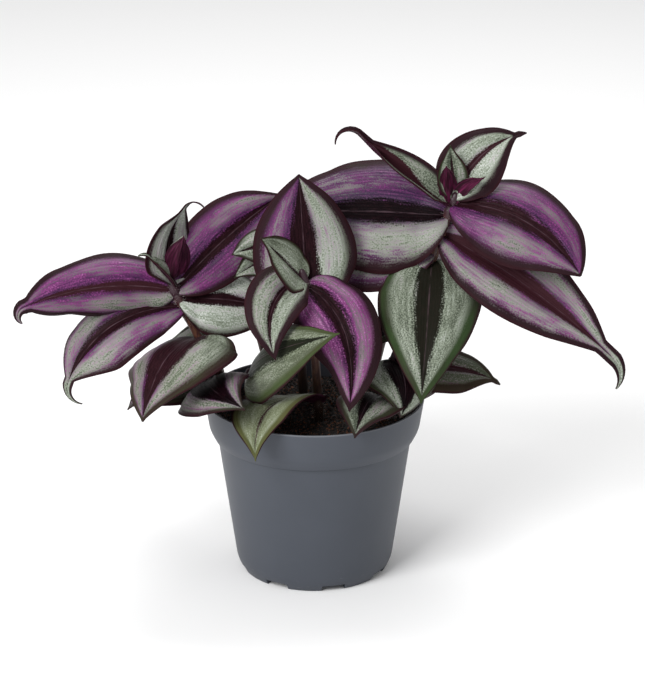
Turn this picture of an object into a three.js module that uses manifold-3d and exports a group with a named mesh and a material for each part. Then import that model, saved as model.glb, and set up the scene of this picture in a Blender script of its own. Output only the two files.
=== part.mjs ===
// A potted tradescantia: a grey plastic nursery pot, its soil, and eight leafy stems that stand in the
// soil. Millimetres, +Z up. The origin is the centre of the pot's underside, and the front of the plant
// looks along -Y.
import * as THREE from "three";
import { mergeVertices } from "three/addons/utils/BufferGeometryUtils.js";
import Module from "manifold-3d";

const wasm = await Module();
wasm.setup();

// The pot: a tapered wall, a wider rim band with a lip, and a foot ring with notches.
const POT_HEIGHT = 74.5;
const RIM_RADIUS = 45.2;
const BAND_RADIUS = 43.2;
const BAND_BOTTOM = 58;
const WALL_TOP_RADIUS = 39.9;
const WALL_FOOT_RADIUS = 32.3;
const FOOT_RADIUS = 29.8;
const FOOT_WIDTH = 2.2;
const WALL = 1.1;
const FLOOR_UNDERSIDE = 2.4;
const FLOOR_TOP = 4;
const PAD_RADIUS = 12;
const NOTCHES = 8;
const NOTCH_WIDTH = 9.8;
const NOTCH_TOP = 2.6;
const FIRST_NOTCH = -75.3;
const DRAIN_RADIUS = 3;
const DRAIN_CIRCLE = 20;

// The soil and the clearances round it.
const CLEAR = 0.3;
const SOIL_EDGE = 66.4;
const SOIL_MIDDLE = 68.4;
const STEM_HOLE_END = 51.6;

// Stems and leaves.
const STEM_FOOT_RADIUS = 2.1;
const STEM_TOP_RADIUS = 1.5;
const NODE_SWELL = 0.5;
const LEAF_THICKNESS = 0.7;
const WIDEST = 0.38;
const BASE_SHARE = 0.22;
const TIP_POWER = 1.2;
const CLASP = 25;
const TIP_FOLD = 25;
const TAIL_HALF_WIDTH = 1.3;
const TIP_HALF_WIDTH = 0.45;

// Each shoot is a curved stem given by four points, and its leaves. A leaf says where it leaves the stem,
// as a share of the stem's length, where its tip is, and how wide it is. Angles are in degrees: bow arches
// it, sweep turns it sideways, roll tips it about its own midrib, fold and camber shape its section, blunt
// below 1.2 fills its tip out, and hook curls the tail at its tip, which tapers from twice the strap's
// width. The heading is the compass direction that it grows in, 0 along +X and 90 along +Y.
const SHOOTS = {
  shoot_a: {
    stem: [[-20, -4, 52], [-30, -6, 72], [-46, -8, 98], [-57, -8, 125]],
    bud: 5,
    leaves: [
      {
        at: 0.97, tip: [-115.5, -24, 121], wide: 32, bow: 36, roll: 75, camber: 80, widest: 0.35,
        blunt: 0.8, tail: 8, strap: 2.8, hook: 120,
      },
      {
        at: 0.88, tip: [-99, -19, 86], wide: 32, bow: 84, roll: 35, fold: 10, camber: 60, widest: 0.6,
        tail: 11, strap: 2.6, hook: 90,
      },
      { at: 0.97, tip: [-13, 18, 155], wide: 32, bow: 18, roll: -50, fold: 15, camber: 50, widest: 0.55 },
      { at: 0.92, tip: [-12, -1, 110], wide: 31, bow: 30, roll: -50, fold: 10, camber: 50 },
      {
        at: 1, tip: [-51, -2, 157], wide: 27, bow: -65, heading: 150, roll: 12, fold: 18, camber: 30,
        widest: 0.3, tail: 9, hook: -110,
      },
      {
        at: 0.98, tip: [-66.5, -14, 139], wide: 11, bow: 20, roll: 30, fold: 40, camber: 30, tail: 4,
        hook: 60,
      },
      { at: 0.48, tip: [-76, -8, 71], wide: 34, bow: 70, roll: 10, fold: 10, camber: 40 },
      { at: 0.85, tip: [-62, 46, 112], wide: 32, bow: 60, fold: 10, camber: 50 },
      {
        at: 1, tip: [-51.5, -17, 148.5], wide: 15, bow: -10, heading: -90, fold: 50, camber: 10,
        widest: 0.35,
      },
      {
        at: 0.7, tip: [-67, -51, 83], wide: 49, bow: 100, roll: -12, fold: 5, camber: 50, widest: 0.32,
        blunt: 1.1,
      },
      {
        at: 0.45, tip: [-27, -52, 88.2], wide: 34, bow: 60, heading: -73, sweep: -120, roll: -28, fold: 5,
        camber: 50,
      },
    ],
  },
  shoot_b: {
    stem: [[2, -10, 52], [2, -12, 80], [0, -18, 108], [-4, -22, 131]],
    bud: 6,
    leaves: [
      {
        at: 0.9, tip: [-6, -14, 173], wide: 44, bow: -30, heading: 90, fold: 10, camber: 60, widest: 0.3,
        blunt: 1,
      },
      {
        at: 1, tip: [-15, -49, 108], wide: 24, bow: 100, heading: -150, sweep: -60, roll: 40, fold: 25,
        camber: 40,
      },
      {
        at: 0.97, tip: [14, -42, 84], wide: 36, bow: 95, heading: -55, sweep: 52, roll: -30, fold: 10,
        camber: 70, widest: 0.25, blunt: 1.2,
      },
      { at: 1, tip: [-21, -34, 153], wide: 22, bow: 10, roll: 55, fold: 15, camber: 30, widest: 0.3 },
      {
        at: 0.27, tip: [-23, -54, 67.5], wide: 34, bow: 90, heading: -113, sweep: -76, roll: -16, fold: 15,
        camber: 20, widest: 0.38, blunt: 1.4,
      },
    ],
  },
  shoot_c: {
    stem: [[20, 4, 52], [36, 4, 90], [46, 2, 128], [56, -1, 159]],
    bud: 3,
    leaves: [
      { at: 0.92, tip: [-16, 7, 150.5], wide: 50, bow: 10, roll: 58, fold: 12, camber: 60, blunt: 0.9 },
      { at: 0.76, tip: [-4, 13, 139], wide: 42, bow: 6, roll: 45, fold: 10, camber: 50, widest: 0.6 },
      {
        at: 0.95, tip: [17, 8, 183], wide: 20, bow: -10, roll: 30, fold: 45, camber: 0, widest: 0.35,
        tail: 12, strap: 3, hook: 125,
      },
      {
        at: 1, tip: [82, 8, 183], wide: 27, bow: 65, roll: -46, fold: 20, camber: 50, widest: 0.36,
        blunt: 1.2, tail: 3, hook: 10,
      },
      { at: 1, tip: [54, -1, 181.2], wide: 13, bow: -10, heading: 90, fold: 20, camber: 20 },
      {
        at: 0.97, tip: [105, -24, 134], wide: 40, bow: 70, roll: -42, fold: 10, camber: 60, widest: 0.45,
        blunt: 0.9,
      },
      {
        at: 0.84, tip: [119, -30, 101], wide: 34, bow: 20, roll: -45, fold: 15, camber: 40, tail: 13,
        strap: 3.4, hook: 80,
      },
      {
        at: 0.72, tip: [42, -44, 88], wide: 44, bow: 60, heading: -90, fold: 10, camber: 60, widest: 0.24,
      },
      { at: 0.5, tip: [24, -6, 98], wide: 22, bow: 80, heading: -140, fold: 10, camber: 40 },
      { at: 0.8, tip: [62, 52, 136], wide: 36, bow: 60, fold: 10, camber: 50 },
      { at: 0.94, tip: [52, -11, 175.5], wide: 10, bow: 20, heading: -90, fold: 50, camber: 10 },
      { at: 0.94, tip: [67.4, -11, 171], wide: 11, bow: 20, heading: -90, fold: 50, camber: 10 },
    ],
  },
  shoot_d: {
    stem: [[-22, -13, 52], [-25, -11, 65], [-27, -9, 77], [-26, -10, 88]],
    bud: 2,
    leaves: [
      {
        at: 1, tip: [10, -61, 123.4], wide: 33, bow: 18, sweep: -65, roll: -66, fold: -10, camber: 40,
        widest: 0.2,
      },
    ],
  },
  shoot_e: {
    stem: [[-4, 12, 52], [-5, 12, 90], [-8, 9, 115], [-9, 2, 137]],
    bud: 4,
    leaves: [
      { at: 1, tip: [-33, -8, 137.5], wide: 17, bow: 40, roll: 50, fold: 20, camber: 50 },
      { at: 0.96, tip: [-32, -10, 128.5], wide: 14, bow: 40, roll: 50, fold: 20, camber: 50 },
      { at: 0.6, tip: [-44, 38, 98], wide: 30, bow: 70, fold: 10, camber: 50 },
      { at: 0.8, tip: [-6, 52, 126], wide: 32, bow: 50, fold: 10, camber: 50 },
      { at: 0.7, tip: [10, 42, 92], wide: 28, bow: 70, fold: 10, camber: 50 },
    ],
  },
  shoot_f: {
    stem: [[20, 22, 52], [26, 26, 85], [34, 36, 108], [42, 48, 122]],
    bud: 6,
    leaves: [
      { at: 0.95, tip: [84, 56, 114], wide: 36, bow: 60, roll: -10, fold: 10, camber: 50 },
      { at: 0.9, tip: [14, 94, 98], wide: 34, bow: 70, fold: 10, camber: 50 },
      { at: 1, tip: [56, 92, 128], wide: 26, bow: 40, fold: 15, camber: 50 },
      { at: 0.7, tip: [64, 48, 84], wide: 30, bow: 70, fold: 10, camber: 50 },
    ],
  },
  shoot_g: {
    stem: [[-16, 22, 52], [-18, 26, 78], [-25, 37, 98], [-34, 48, 110]],
    bud: 6,
    leaves: [
      { at: 0.95, tip: [-80, 62, 92], wide: 34, bow: 60, roll: 10, fold: 10, camber: 50 },
      { at: 0.9, tip: [-14, 92, 90], wide: 34, bow: 70, fold: 10, camber: 50 },
      { at: 1, tip: [-54, 90, 114], wide: 26, bow: 40, fold: 15, camber: 50 },
      { at: 0.68, tip: [-68, 44, 70], wide: 28, bow: 70, fold: 10, camber: 50 },
    ],
  },
  shoot_h: {
    stem: [[26, -10, 52], [27, -10, 68], [28, -10, 84], [33, -10, 97]],
    bud: 5,
    leaves: [
      { at: 0.5, tip: [16, -49, 75.2], wide: 28, bow: 90, roll: 3, fold: 10, camber: 40, widest: 0.42 },
      { at: 0.9, tip: [34, -31, 77], wide: 39, bow: 120, heading: -50, fold: 10, camber: 60 },
      {
        at: 0.7, tip: [74, -5, 82], wide: 24, bow: 60, roll: -30, fold: 10, camber: 40, widest: 0.55,
        tail: 2, hook: 10,
      },
    ],
  },
};

const rad = THREE.MathUtils.degToRad;
const vec = (p) => new THREE.Vector3(p[0], p[1], p[2]);
const mix = (a, b, k) => a + (b - a) * k;

function solidFrom(vertices, triangles) {
  return new wasm.Manifold(
    new wasm.Mesh({
      numProp: 3,
      vertProperties: new Float32Array(vertices),
      triVerts: new Uint32Array(triangles),
    }),
  );
}

// A three.js geometry as a solid, without the triangles that collapse on a lathe's axis.
function solidOf(geometry) {
  const bare = geometry.clone();
  bare.deleteAttribute("normal");
  bare.deleteAttribute("uv");
  const merged = mergeVertices(bare, 1e-4);
  const kept = [];
  const index = merged.index.array;
  for (let i = 0; i < index.length; i += 3) {
    const [a, b, c] = [index[i], index[i + 1], index[i + 2]];
    if (a !== b && b !== c && a !== c) kept.push(a, b, c);
  }
  return solidFrom(merged.attributes.position.array, kept);
}

function meshOf(name, made, material) {
  const data = made.getMesh();
  const geometry = new THREE.BufferGeometry();
  const points = new Float32Array(data.numVert * 3);
  for (let i = 0; i < data.numVert; i++) {
    points.set(data.vertProperties.subarray(i * data.numProp, i * data.numProp + 3), i * 3);
  }
  geometry.setAttribute("position", new THREE.BufferAttribute(points, 3));
  geometry.setIndex(new THREE.BufferAttribute(data.triVerts, 1));
  geometry.computeVertexNormals();
  const mesh = new THREE.Mesh(geometry, material);
  mesh.name = name;
  return mesh;
}

// A profile of [radius, height] points turned round the Z axis.
function turned(profile, segments) {
  const points = profile.map(([r, z]) => new THREE.Vector2(r, z));
  const geometry = new THREE.LatheGeometry(points, segments);
  geometry.rotateX(Math.PI / 2);
  return geometry;
}

// A closed tube through rings of { centre, along, radius }, with flat ends.
function tube(rings, sides) {
  const vertices = [];
  const triangles = [];
  const across = new THREE.Vector3(0, 1, 0);
  for (const { centre, along, radius } of rings) {
    const u = new THREE.Vector3().crossVectors(across, along).normalize();
    const v = new THREE.Vector3().crossVectors(along, u);
    for (let s = 0; s < sides; s++) {
      const angle = (2 * Math.PI * s) / sides;
      const p = centre.clone();
      p.addScaledVector(u, radius * Math.cos(angle));
      p.addScaledVector(v, radius * Math.sin(angle));
      vertices.push(p.x, p.y, p.z);
    }
  }
  const last = rings.length - 1;
  for (let r = 0; r < last; r++) {
    for (let s = 0; s < sides; s++) {
      const a = r * sides + s;
      const b = r * sides + ((s + 1) % sides);
      triangles.push(a, b, b + sides, a, b + sides, a + sides);
    }
  }
  const foot = vertices.length / 3;
  vertices.push(...rings[0].centre.toArray(), ...rings[last].centre.toArray());
  for (let s = 0; s < sides; s++) {
    const next = (s + 1) % sides;
    triangles.push(foot, next, s);
    triangles.push(foot + 1, last * sides + s, last * sides + next);
  }
  return solidFrom(vertices, triangles);
}

function curveOf(shoot) {
  return new THREE.CubicBezierCurve3(...shoot.stem.map(vec));
}

// The stem thickens a little at each node, where a leaf's sheath holds it, and ends in a furled spindle of
// new leaves.
function stemSolid(shoot) {
  const curve = curveOf(shoot);
  const steps = new Set([0.02, 0.15, 0.3, 0.45, 0.6, 0.75, 0.88, 1]);
  for (const { at } of shoot.leaves) {
    for (const step of [at - 0.035, at - 0.01]) {
      if (step < 0.985) steps.add(step);
    }
  }
  const sorted = [...steps].sort((a, b) => a - b).filter((t, i, all) => i === 0 || t - all[i - 1] > 0.02);
  const rings = sorted.map((t) => {
    const nearest = Math.min(...shoot.leaves.map(({ at }) => Math.abs(t - at + 0.012)));
    const swell = NODE_SWELL * Math.max(0, 1 - nearest / 0.03);
    return {
      centre: curve.getPoint(t),
      along: curve.getTangent(t),
      radius: mix(STEM_FOOT_RADIUS, STEM_TOP_RADIUS, t) + swell,
    };
  });
  const end = curve.getPoint(1);
  const along = curve.getTangent(1);
  for (const [share, radius] of [[0.3, 1.9], [0.6, 1.5], [0.85, 0.9], [1, 0.4]]) {
    rings.push({ centre: end.clone().addScaledVector(along, share * shoot.bud), along, radius });
  }
  return tube(rings, 7);
}

// The hole that a stem stands in.
function holeSolid(shoot) {
  const curve = curveOf(shoot);
  const rings = [];
  for (const t of [0, 0.12, 0.24, 0.36, 0.48]) {
    const centre = curve.getPoint(t);
    if (t === 0) centre.z = STEM_HOLE_END;
    rings.push({ centre, along: curve.getTangent(t), radius: STEM_FOOT_RADIUS + NODE_SWELL + CLEAR });
  }
  return tube(rings, 10);
}

// Half width of a leaf as a share of its widest, from a rounded base to a drawn-out tip.
function outline(u, widest, blunt) {
  if (u < widest) {
    const k = (widest - u) / widest;
    return Math.sqrt(1 - (1 - BASE_SHARE ** 2) * k * k);
  }
  const k = (u - widest) / (1 - widest);
  return Math.max(0, 1 - k * k) ** blunt;
}

// The midrib: an arc from the stem to the tip, then a tail that curls on.
function midrib(base, leaf) {
  const steps = 60;
  const tip = vec(leaf.tip);
  const chord = tip.clone().sub(base);
  const heading = leaf.heading === undefined ? Math.atan2(chord.y, chord.x) : rad(leaf.heading);
  const flat = chord.x * Math.cos(heading) + chord.y * Math.sin(heading);
  const pitch = Math.atan2(chord.z, flat);
  const bow = rad(leaf.bow ?? 50);
  const sweep = rad(leaf.sweep ?? 0);
  const half = bow / 2;
  const length = chord.length() / (Math.abs(half) > 1e-6 ? Math.sin(half) / half : 1);
  const points = [base.clone()];
  for (let i = 0; i < steps; i++) {
    const u = (i + 0.5) / steps;
    const a = pitch + bow * (0.5 - u);
    const h = heading + sweep * (0.5 - u);
    const d = new THREE.Vector3(Math.cos(a) * Math.cos(h), Math.cos(a) * Math.sin(h), Math.sin(a));
    points.push(points[i].clone().addScaledVector(d, length / steps));
  }
  const miss = tip.clone().sub(points[steps]);
  points.forEach((p, i) => p.addScaledVector(miss, i / steps));
  const places = points.map((_, i) => i / steps);
  if (leaf.tail) {
    const parts = 8;
    const d = points[steps].clone().sub(points[steps - 1]).normalize();
    const h = heading - sweep * 0.5;
    const side = new THREE.Vector3(Math.sin(h), -Math.cos(h), 0);
    for (let i = 0; i < parts; i++) {
      d.applyAxisAngle(side, -rad(leaf.hook ?? 0) / parts);
      points.push(points[points.length - 1].clone().addScaledVector(d, leaf.tail / parts));
      places.push(1 + (((i + 1) / parts) * leaf.tail) / length);
    }
  }
  return { points, places, heading, sweep };
}

function sample({ points, places }, u) {
  let i = 1;
  while (i < places.length - 1 && places[i] < u) i++;
  const k = (u - places[i - 1]) / (places[i] - places[i - 1]);
  return points[i - 1].clone().lerp(points[i], THREE.MathUtils.clamp(k, 0, 1));
}

// The middle surface of a leaf: a folded and cambered sheet along the midrib.
function sheet(base, leaf) {
  const line = midrib(base, leaf);
  const end = line.places[line.places.length - 1];
  const small = leaf.wide < 21;
  const rows = small ? [0, 0.18, 0.42, 0.7, 1] : [0, 0.1, 0.23, 0.39, 0.57, 0.74, 0.88, 1];
  if (leaf.tail) rows.push(mix(1, end, 0.33), mix(1, end, 0.67), end);
  const cols = 4;
  const widest = leaf.widest ?? WIDEST;
  const blunt = leaf.blunt ?? TIP_POWER;
  const tipWidth = leaf.tail ? (leaf.strap ?? TAIL_HALF_WIDTH) : TIP_HALF_WIDTH;
  return rows.map((u) => {
    const inside = Math.min(u, 1);
    const p = sample(line, u);
    const ahead = sample(line, Math.min(end, u + 0.02));
    const behind = sample(line, Math.max(0, u - 0.02));
    const along = ahead.sub(behind).normalize();
    const h = line.heading + line.sweep * (0.5 - inside);
    const side = new THREE.Vector3(Math.sin(h), -Math.cos(h), 0);
    side.addScaledVector(along, -side.dot(along)).normalize();
    const up = new THREE.Vector3().crossVectors(side, along);
    const roll = rad(leaf.roll ?? 0);
    const across = side.clone().multiplyScalar(Math.cos(roll)).addScaledVector(up, Math.sin(roll));
    const normal = up.clone().multiplyScalar(Math.cos(roll)).addScaledVector(side, -Math.sin(roll));
    const least = u > 1 ? mix(tipWidth, TIP_HALF_WIDTH, (u - 1) / (end - 1)) : tipWidth;
    const width = Math.max((leaf.wide / 2) * outline(inside, widest, blunt), least);
    const easing = Math.min(1, width / 3);
    const clasp = CLASP * Math.max(0, 1 - u / 0.15);
    const pinch = TIP_FOLD * Math.max(0, (inside - 0.7) / 0.3);
    const fold = rad((leaf.fold ?? 0) + clasp + pinch) * easing;
    const camber = rad(leaf.camber ?? 50) * easing;
    const row = [];
    for (let c = 0; c <= cols; c++) {
      const v = -1 + (2 * c) / cols;
      const a = Math.abs(v) * width;
      const angle = fold - (camber * Math.abs(v)) / 2;
      row.push(
        p.clone()
          .addScaledVector(across, Math.sign(v) * a * Math.cos(angle))
          .addScaledVector(normal, a * Math.sin(angle)),
      );
    }
    return row;
  });
}

// The sheet thickened to both sides of its middle, split into triangles alike on both faces.
function leafSolid(base, leaf) {
  const grid = sheet(base, leaf);
  const rows = grid.length;
  const cols = grid[0].length;
  const vertices = [];
  for (const offset of [LEAF_THICKNESS / 2, -LEAF_THICKNESS / 2]) {
    for (let r = 0; r < rows; r++) {
      for (let c = 0; c < cols; c++) {
        const along = grid[Math.min(r + 1, rows - 1)][c].clone().sub(grid[Math.max(r - 1, 0)][c]);
        const across = grid[r][Math.min(c + 1, cols - 1)].clone().sub(grid[r][Math.max(c - 1, 0)]);
        const normal = across.cross(along).normalize();
        const p = grid[r][c].clone().addScaledVector(normal, offset);
        vertices.push(p.x, p.y, p.z);
      }
    }
  }
  const under = rows * cols;
  const triangles = [];
  for (let r = 0; r < rows - 1; r++) {
    for (let c = 0; c < cols - 1; c++) {
      const a = r * cols + c;
      const b = a + 1;
      const d = a + cols;
      const e = d + 1;
      const right = c >= (cols - 1) / 2;
      const pair = right ? [a, b, e, a, e, d] : [a, b, d, b, e, d];
      triangles.push(...pair);
      for (let i = 0; i < 6; i += 3) {
        triangles.push(under + pair[i], under + pair[i + 2], under + pair[i + 1]);
      }
    }
  }
  const edge = [];
  for (let c = 0; c < cols; c++) edge.push(c);
  for (let r = 1; r < rows; r++) edge.push(r * cols + cols - 1);
  for (let c = cols - 2; c >= 0; c--) edge.push((rows - 1) * cols + c);
  for (let r = rows - 2; r > 0; r--) edge.push(r * cols);
  edge.forEach((a, i) => {
    const b = edge[(i + 1) % edge.length];
    triangles.push(a, under + a, under + b, a, under + b, b);
  });
  return solidFrom(vertices, triangles);
}

function shootSolid(shoot) {
  const curve = curveOf(shoot);
  let made = stemSolid(shoot);
  for (const leaf of shoot.leaves) {
    made = made.add(leafSolid(curve.getPoint(leaf.at), leaf));
  }
  // The outer shell alone, so that a pocket closed in between young leaves and the bud is solid.
  return made.decompose().reduce((a, b) => (a.volume() > b.volume() ? a : b));
}

function potSolid() {
  const profile = [
    [0, 0], [PAD_RADIUS, 0], [PAD_RADIUS + 0.8, FLOOR_UNDERSIDE],
    [FOOT_RADIUS - FOOT_WIDTH - 0.6, FLOOR_UNDERSIDE], [FOOT_RADIUS - FOOT_WIDTH, 0],
    [FOOT_RADIUS, 0], [FOOT_RADIUS + 1.5, 1], [WALL_FOOT_RADIUS, 4],
    [WALL_TOP_RADIUS, BAND_BOTTOM], [WALL_TOP_RADIUS + 1.8, BAND_BOTTOM + 1.4],
    [BAND_RADIUS, BAND_BOTTOM + 4],
    [RIM_RADIUS - 0.3, POT_HEIGHT - 1.2], [RIM_RADIUS, POT_HEIGHT - 0.6], [RIM_RADIUS - 0.3, POT_HEIGHT],
    [RIM_RADIUS - WALL, POT_HEIGHT], [RIM_RADIUS - WALL - 0.3, POT_HEIGHT - 0.6],
    [BAND_RADIUS - WALL, BAND_BOTTOM + 4.5], [WALL_TOP_RADIUS + 0.6, BAND_BOTTOM + 2.2],
    [WALL_TOP_RADIUS - WALL, BAND_BOTTOM + 0.6], [WALL_FOOT_RADIUS - WALL, FLOOR_TOP + 0.6],
    [WALL_FOOT_RADIUS - WALL - 0.8, FLOOR_TOP], [0, FLOOR_TOP],
  ];
  let made = solidOf(turned(profile, 48));
  for (let i = 0; i < NOTCHES; i++) {
    const angle = rad(FIRST_NOTCH + (360 / NOTCHES) * i);
    const notch = new THREE.BoxGeometry(7, NOTCH_WIDTH, NOTCH_TOP + 1);
    notch.translate(FOOT_RADIUS, 0, (NOTCH_TOP - 1) / 2);
    notch.rotateZ(angle);
    made = made.subtract(solidOf(notch));
    const drain = new THREE.CylinderGeometry(DRAIN_RADIUS, DRAIN_RADIUS, 6, 16);
    drain.rotateX(Math.PI / 2);
    drain.translate(DRAIN_CIRCLE, 0, FLOOR_TOP - 1);
    drain.rotateZ(angle + rad(180 / NOTCHES));
    made = made.subtract(solidOf(drain));
  }
  return made;
}

// The soil fills the pot to a little under the rim, and its top is gently uneven.
function soilSolid() {
  const wallFoot = WALL_FOOT_RADIUS - WALL - 0.8 - CLEAR;
  const profile = [
    [0, FLOOR_TOP + CLEAR], [wallFoot, FLOOR_TOP + CLEAR],
    [WALL_TOP_RADIUS - WALL - CLEAR - 0.05, BAND_BOTTOM + 0.7], [WALL_TOP_RADIUS + 0.2, BAND_BOTTOM + 2.5],
    [BAND_RADIUS - WALL - CLEAR - 0.1, BAND_BOTTOM + 4.9], [BAND_RADIUS - WALL + 0.2, SOIL_EDGE],
    [40, SOIL_EDGE + 0.5], [31, SOIL_EDGE + 1.1], [20, SOIL_EDGE + 1.6], [10, SOIL_EDGE + 1.8],
    [0, SOIL_MIDDLE],
  ];
  const geometry = turned(profile, 28);
  const points = geometry.attributes.position;
  for (let i = 0; i < points.count; i++) {
    const [x, y, z] = [points.getX(i), points.getY(i), points.getZ(i)];
    if (z > SOIL_EDGE + 0.2) {
      points.setZ(i, z + 0.5 * Math.sin(0.31 * x + 1.2) * Math.cos(0.27 * y - 0.4));
    }
  }
  let made = solidOf(geometry);
  for (const shoot of Object.values(SHOOTS)) made = made.subtract(holeSolid(shoot));
  return made;
}

const plastic = new THREE.MeshStandardMaterial({ color: 0x5b5f66, roughness: 0.55, metalness: 0 });
const peat = new THREE.MeshStandardMaterial({ color: 0x1c140f, roughness: 0.95, metalness: 0 });
const foliage = new THREE.MeshStandardMaterial({ color: 0x6d5a68, roughness: 0.45, metalness: 0 });

const group = new THREE.Group();
group.add(meshOf("pot", potSolid(), plastic));
group.add(meshOf("soil", soilSolid(), peat));
for (const [name, shoot] of Object.entries(SHOOTS)) {
  group.add(meshOf(name, shootSolid(shoot), foliage.clone()));
}

export default group;
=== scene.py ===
# %% [markdown]
# A potted tradescantia: a small trailing houseplant with striped leaves, in a grey plastic nursery pot.
# The frame already holds the plant as plain solids at their real size. Every piece made below takes the
# place of one of those solids, in metres and in the same place, and adds what the solids leave out: veins,
# stripes, the thin skin of the leaves, the moulded lip of the pot and the crumbs of the soil.

# %% The frame
import math

import bpy
import numpy as np
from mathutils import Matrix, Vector


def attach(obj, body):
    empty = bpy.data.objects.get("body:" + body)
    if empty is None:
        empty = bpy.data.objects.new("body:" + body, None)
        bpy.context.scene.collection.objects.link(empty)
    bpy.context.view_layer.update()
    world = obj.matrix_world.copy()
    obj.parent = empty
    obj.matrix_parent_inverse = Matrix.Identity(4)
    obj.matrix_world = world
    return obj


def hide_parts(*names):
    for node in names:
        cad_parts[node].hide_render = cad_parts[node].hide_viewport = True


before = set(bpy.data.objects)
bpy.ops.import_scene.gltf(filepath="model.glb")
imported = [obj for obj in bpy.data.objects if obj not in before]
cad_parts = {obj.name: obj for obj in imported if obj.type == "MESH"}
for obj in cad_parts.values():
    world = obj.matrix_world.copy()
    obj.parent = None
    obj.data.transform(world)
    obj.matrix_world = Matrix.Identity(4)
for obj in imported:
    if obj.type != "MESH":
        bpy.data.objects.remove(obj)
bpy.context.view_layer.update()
scene = bpy.context.scene
MM = 0.001
print("solids in the frame:", sorted(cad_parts))

# %% [markdown]
# The camera stands where the photographer stood: a little over a metre away, straight in front of the
# plant, and looking down on it at 20 degrees. A long lens from that distance keeps the leaves' shapes
# true.

# %% The camera
CAMERA_DISTANCE = 1.1
CAMERA_ELEVATION = math.radians(20)
LOOKED_AT = Vector((3.3, 0.0, 99.8)) * MM
LENS = 144.3


def placed(name, data):
    """An object with this data, linked to the scene."""
    made = bpy.data.objects.new(name, data)
    scene.collection.objects.link(made)
    return made


def facing(direction):
    """The turn that points a camera or a lamp in this direction."""
    return direction.to_track_quat("-Z", "Y").to_euler()


camera_back = Vector((0, -math.cos(CAMERA_ELEVATION), math.sin(CAMERA_ELEVATION)))
camera = placed("camera", bpy.data.cameras.new("camera"))
camera.data.lens = LENS
camera.location = LOOKED_AT + camera_back * CAMERA_DISTANCE
camera.rotation_euler = facing(-camera_back)
scene.camera = camera
print("camera at", [round(x, 3) for x in camera.location])

# %% [markdown]
# Materials are chains of nodes. One helper adds a node, sets its properties and fills its inputs, where an
# input is a plain value, a socket, or a node, which then stands for its first output. The same filling
# serves for a node that is there already, such as the shader. Colours are written as the sRGB hex values
# that a painter would read off a screen, and turned to the linear values that the renderer counts in.

# %% Helpers for nodes and colours
def linear(hex_colour):
    """An sRGB colour such as "#5c6068" as linear red, green, blue and alpha."""
    shares = [int(hex_colour[i:i + 2], 16) / 255 for i in (1, 3, 5)]
    return [c / 12.92 if c <= 0.04045 else ((c + 0.055) / 1.055) ** 2.4 for c in shares] + [1.0]


def fill(tree, node, inputs):
    """Gives the inputs of a node their values or links."""
    for key, value in inputs.items():
        if isinstance(value, bpy.types.Node):
            value = next(socket for socket in value.outputs if socket.enabled)
        if isinstance(value, bpy.types.NodeSocket):
            tree.links.new(value, node.inputs[key])
        else:
            node.inputs[key].default_value = value


def add(tree, kind, inputs=None, **settings):
    """Adds a node to a tree, with its settings, input values and links."""
    node = tree.nodes.new(kind)
    for name, value in settings.items():
        setattr(node, name, value)
    fill(tree, node, inputs or {})
    return node


def new_material(name):
    """An empty material: its node tree and its surface shader, already joined to the output."""
    material = bpy.data.materials.new(name)
    material.use_nodes = True
    tree = material.node_tree
    tree.nodes.clear()
    shader = add(tree, "ShaderNodeBsdfPrincipled")
    add(tree, "ShaderNodeOutputMaterial", {"Surface": shader})
    return material, tree, shader


print("one middle grey is", [round(c, 3) for c in linear("#808080")])

# %% [markdown]
# The leaf skin. A tradescantia leaf is dark maroon, with two silver bands where the skin stands off the
# green tissue below and the air between them scatters light. The bands run along the leaf on both sides of
# a dark middle band, with ragged borders drawn out along the veins, and a violet pigment shows through
# them as patches and fine flecks, a little more so beside the borders. The margin is dark again, greener
# on leaves that grew in the shade, where the middle band is greener too.
#
# Every leaf carries its own map: "place" holds how far a point lies along the leaf (0 to 1) and across it
# (-1 to 1), and "grain" the same in millimetres, so that each pattern keeps its real size. Three more
# attributes give each leaf its own markings, so one material paints them all.

# %% Leaf skin, upper side
SILVER_DARK = "#3f4639"
SILVER = "#788070"
SILVER_PALE = "#9fa79b"
SILVER_GLINT = "#e0e5de"
SILVER_WARM = "#767b4a"
LILAC = "#94838f"
VIOLET_PALE = "#a0719b"
ORCHID = "#803a74"
VIOLET = "#572353"
VIOLET_DEEP = "#2b1034"
MAROON = "#33191f"
MAROON_DARK = "#0b0306"
MARGIN_MAROON = "#2d1c21"
MARGIN_GREEN = "#35462a"
MIDDLE_GREEN = "#1c1f16"
EDGE_RED = "#2c151a"
MIDRIB_LINE = "#5f4b53"

BORDER = 0.05
MARGIN_BORDER = 0.09
STREAK_WIDTH_MM = 1.1
STREAK_LENGTH_MM = 9.0
HAIRLINE_WIDTH_MM = 0.45
FLECK_MM = 0.62
CLOUD_LENGTH_MM = 22.0
CLOUD_WIDTH_MM = 7.0
VEIN_SPACING_MM = 1.5
LEAF_SHINE = 0.13
SILVER_SHINE = 0.24
DARK_SHINE = 0.04
SKIN_RELIEF_MM = 0.25
SMOOTHEST = 0.34
ROUGHEST = 0.5
GRAIN_ROUGHNESS = 0.6
VIOLET_FROM = 2.12
VIOLET_FULL = 2.6
BLUSH_FROM = 1.95
BLUSH_FULL = 2.4
HALVES_BORDER = 0.06
MIDDLE_FRINGE = 0.2
MARGIN_FRINGE = 0.16
GREEN_MIDDLE_FROM = 0.5
GREEN_MIDDLE_FULL = 0.8
EDGE_FROM = 0.9
EDGE_FULL = 0.97
MIDRIB_UNTIL = 0.02
MIDRIB_FULL = 0.006


def map_parts(tree, name):
    """The three numbers that every point of a leaf carries under this name."""
    whole = add(tree, "ShaderNodeAttribute", attribute_name=name).outputs["Vector"]
    return add(tree, "ShaderNodeSeparateXYZ", {0: whole}).outputs


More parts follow.
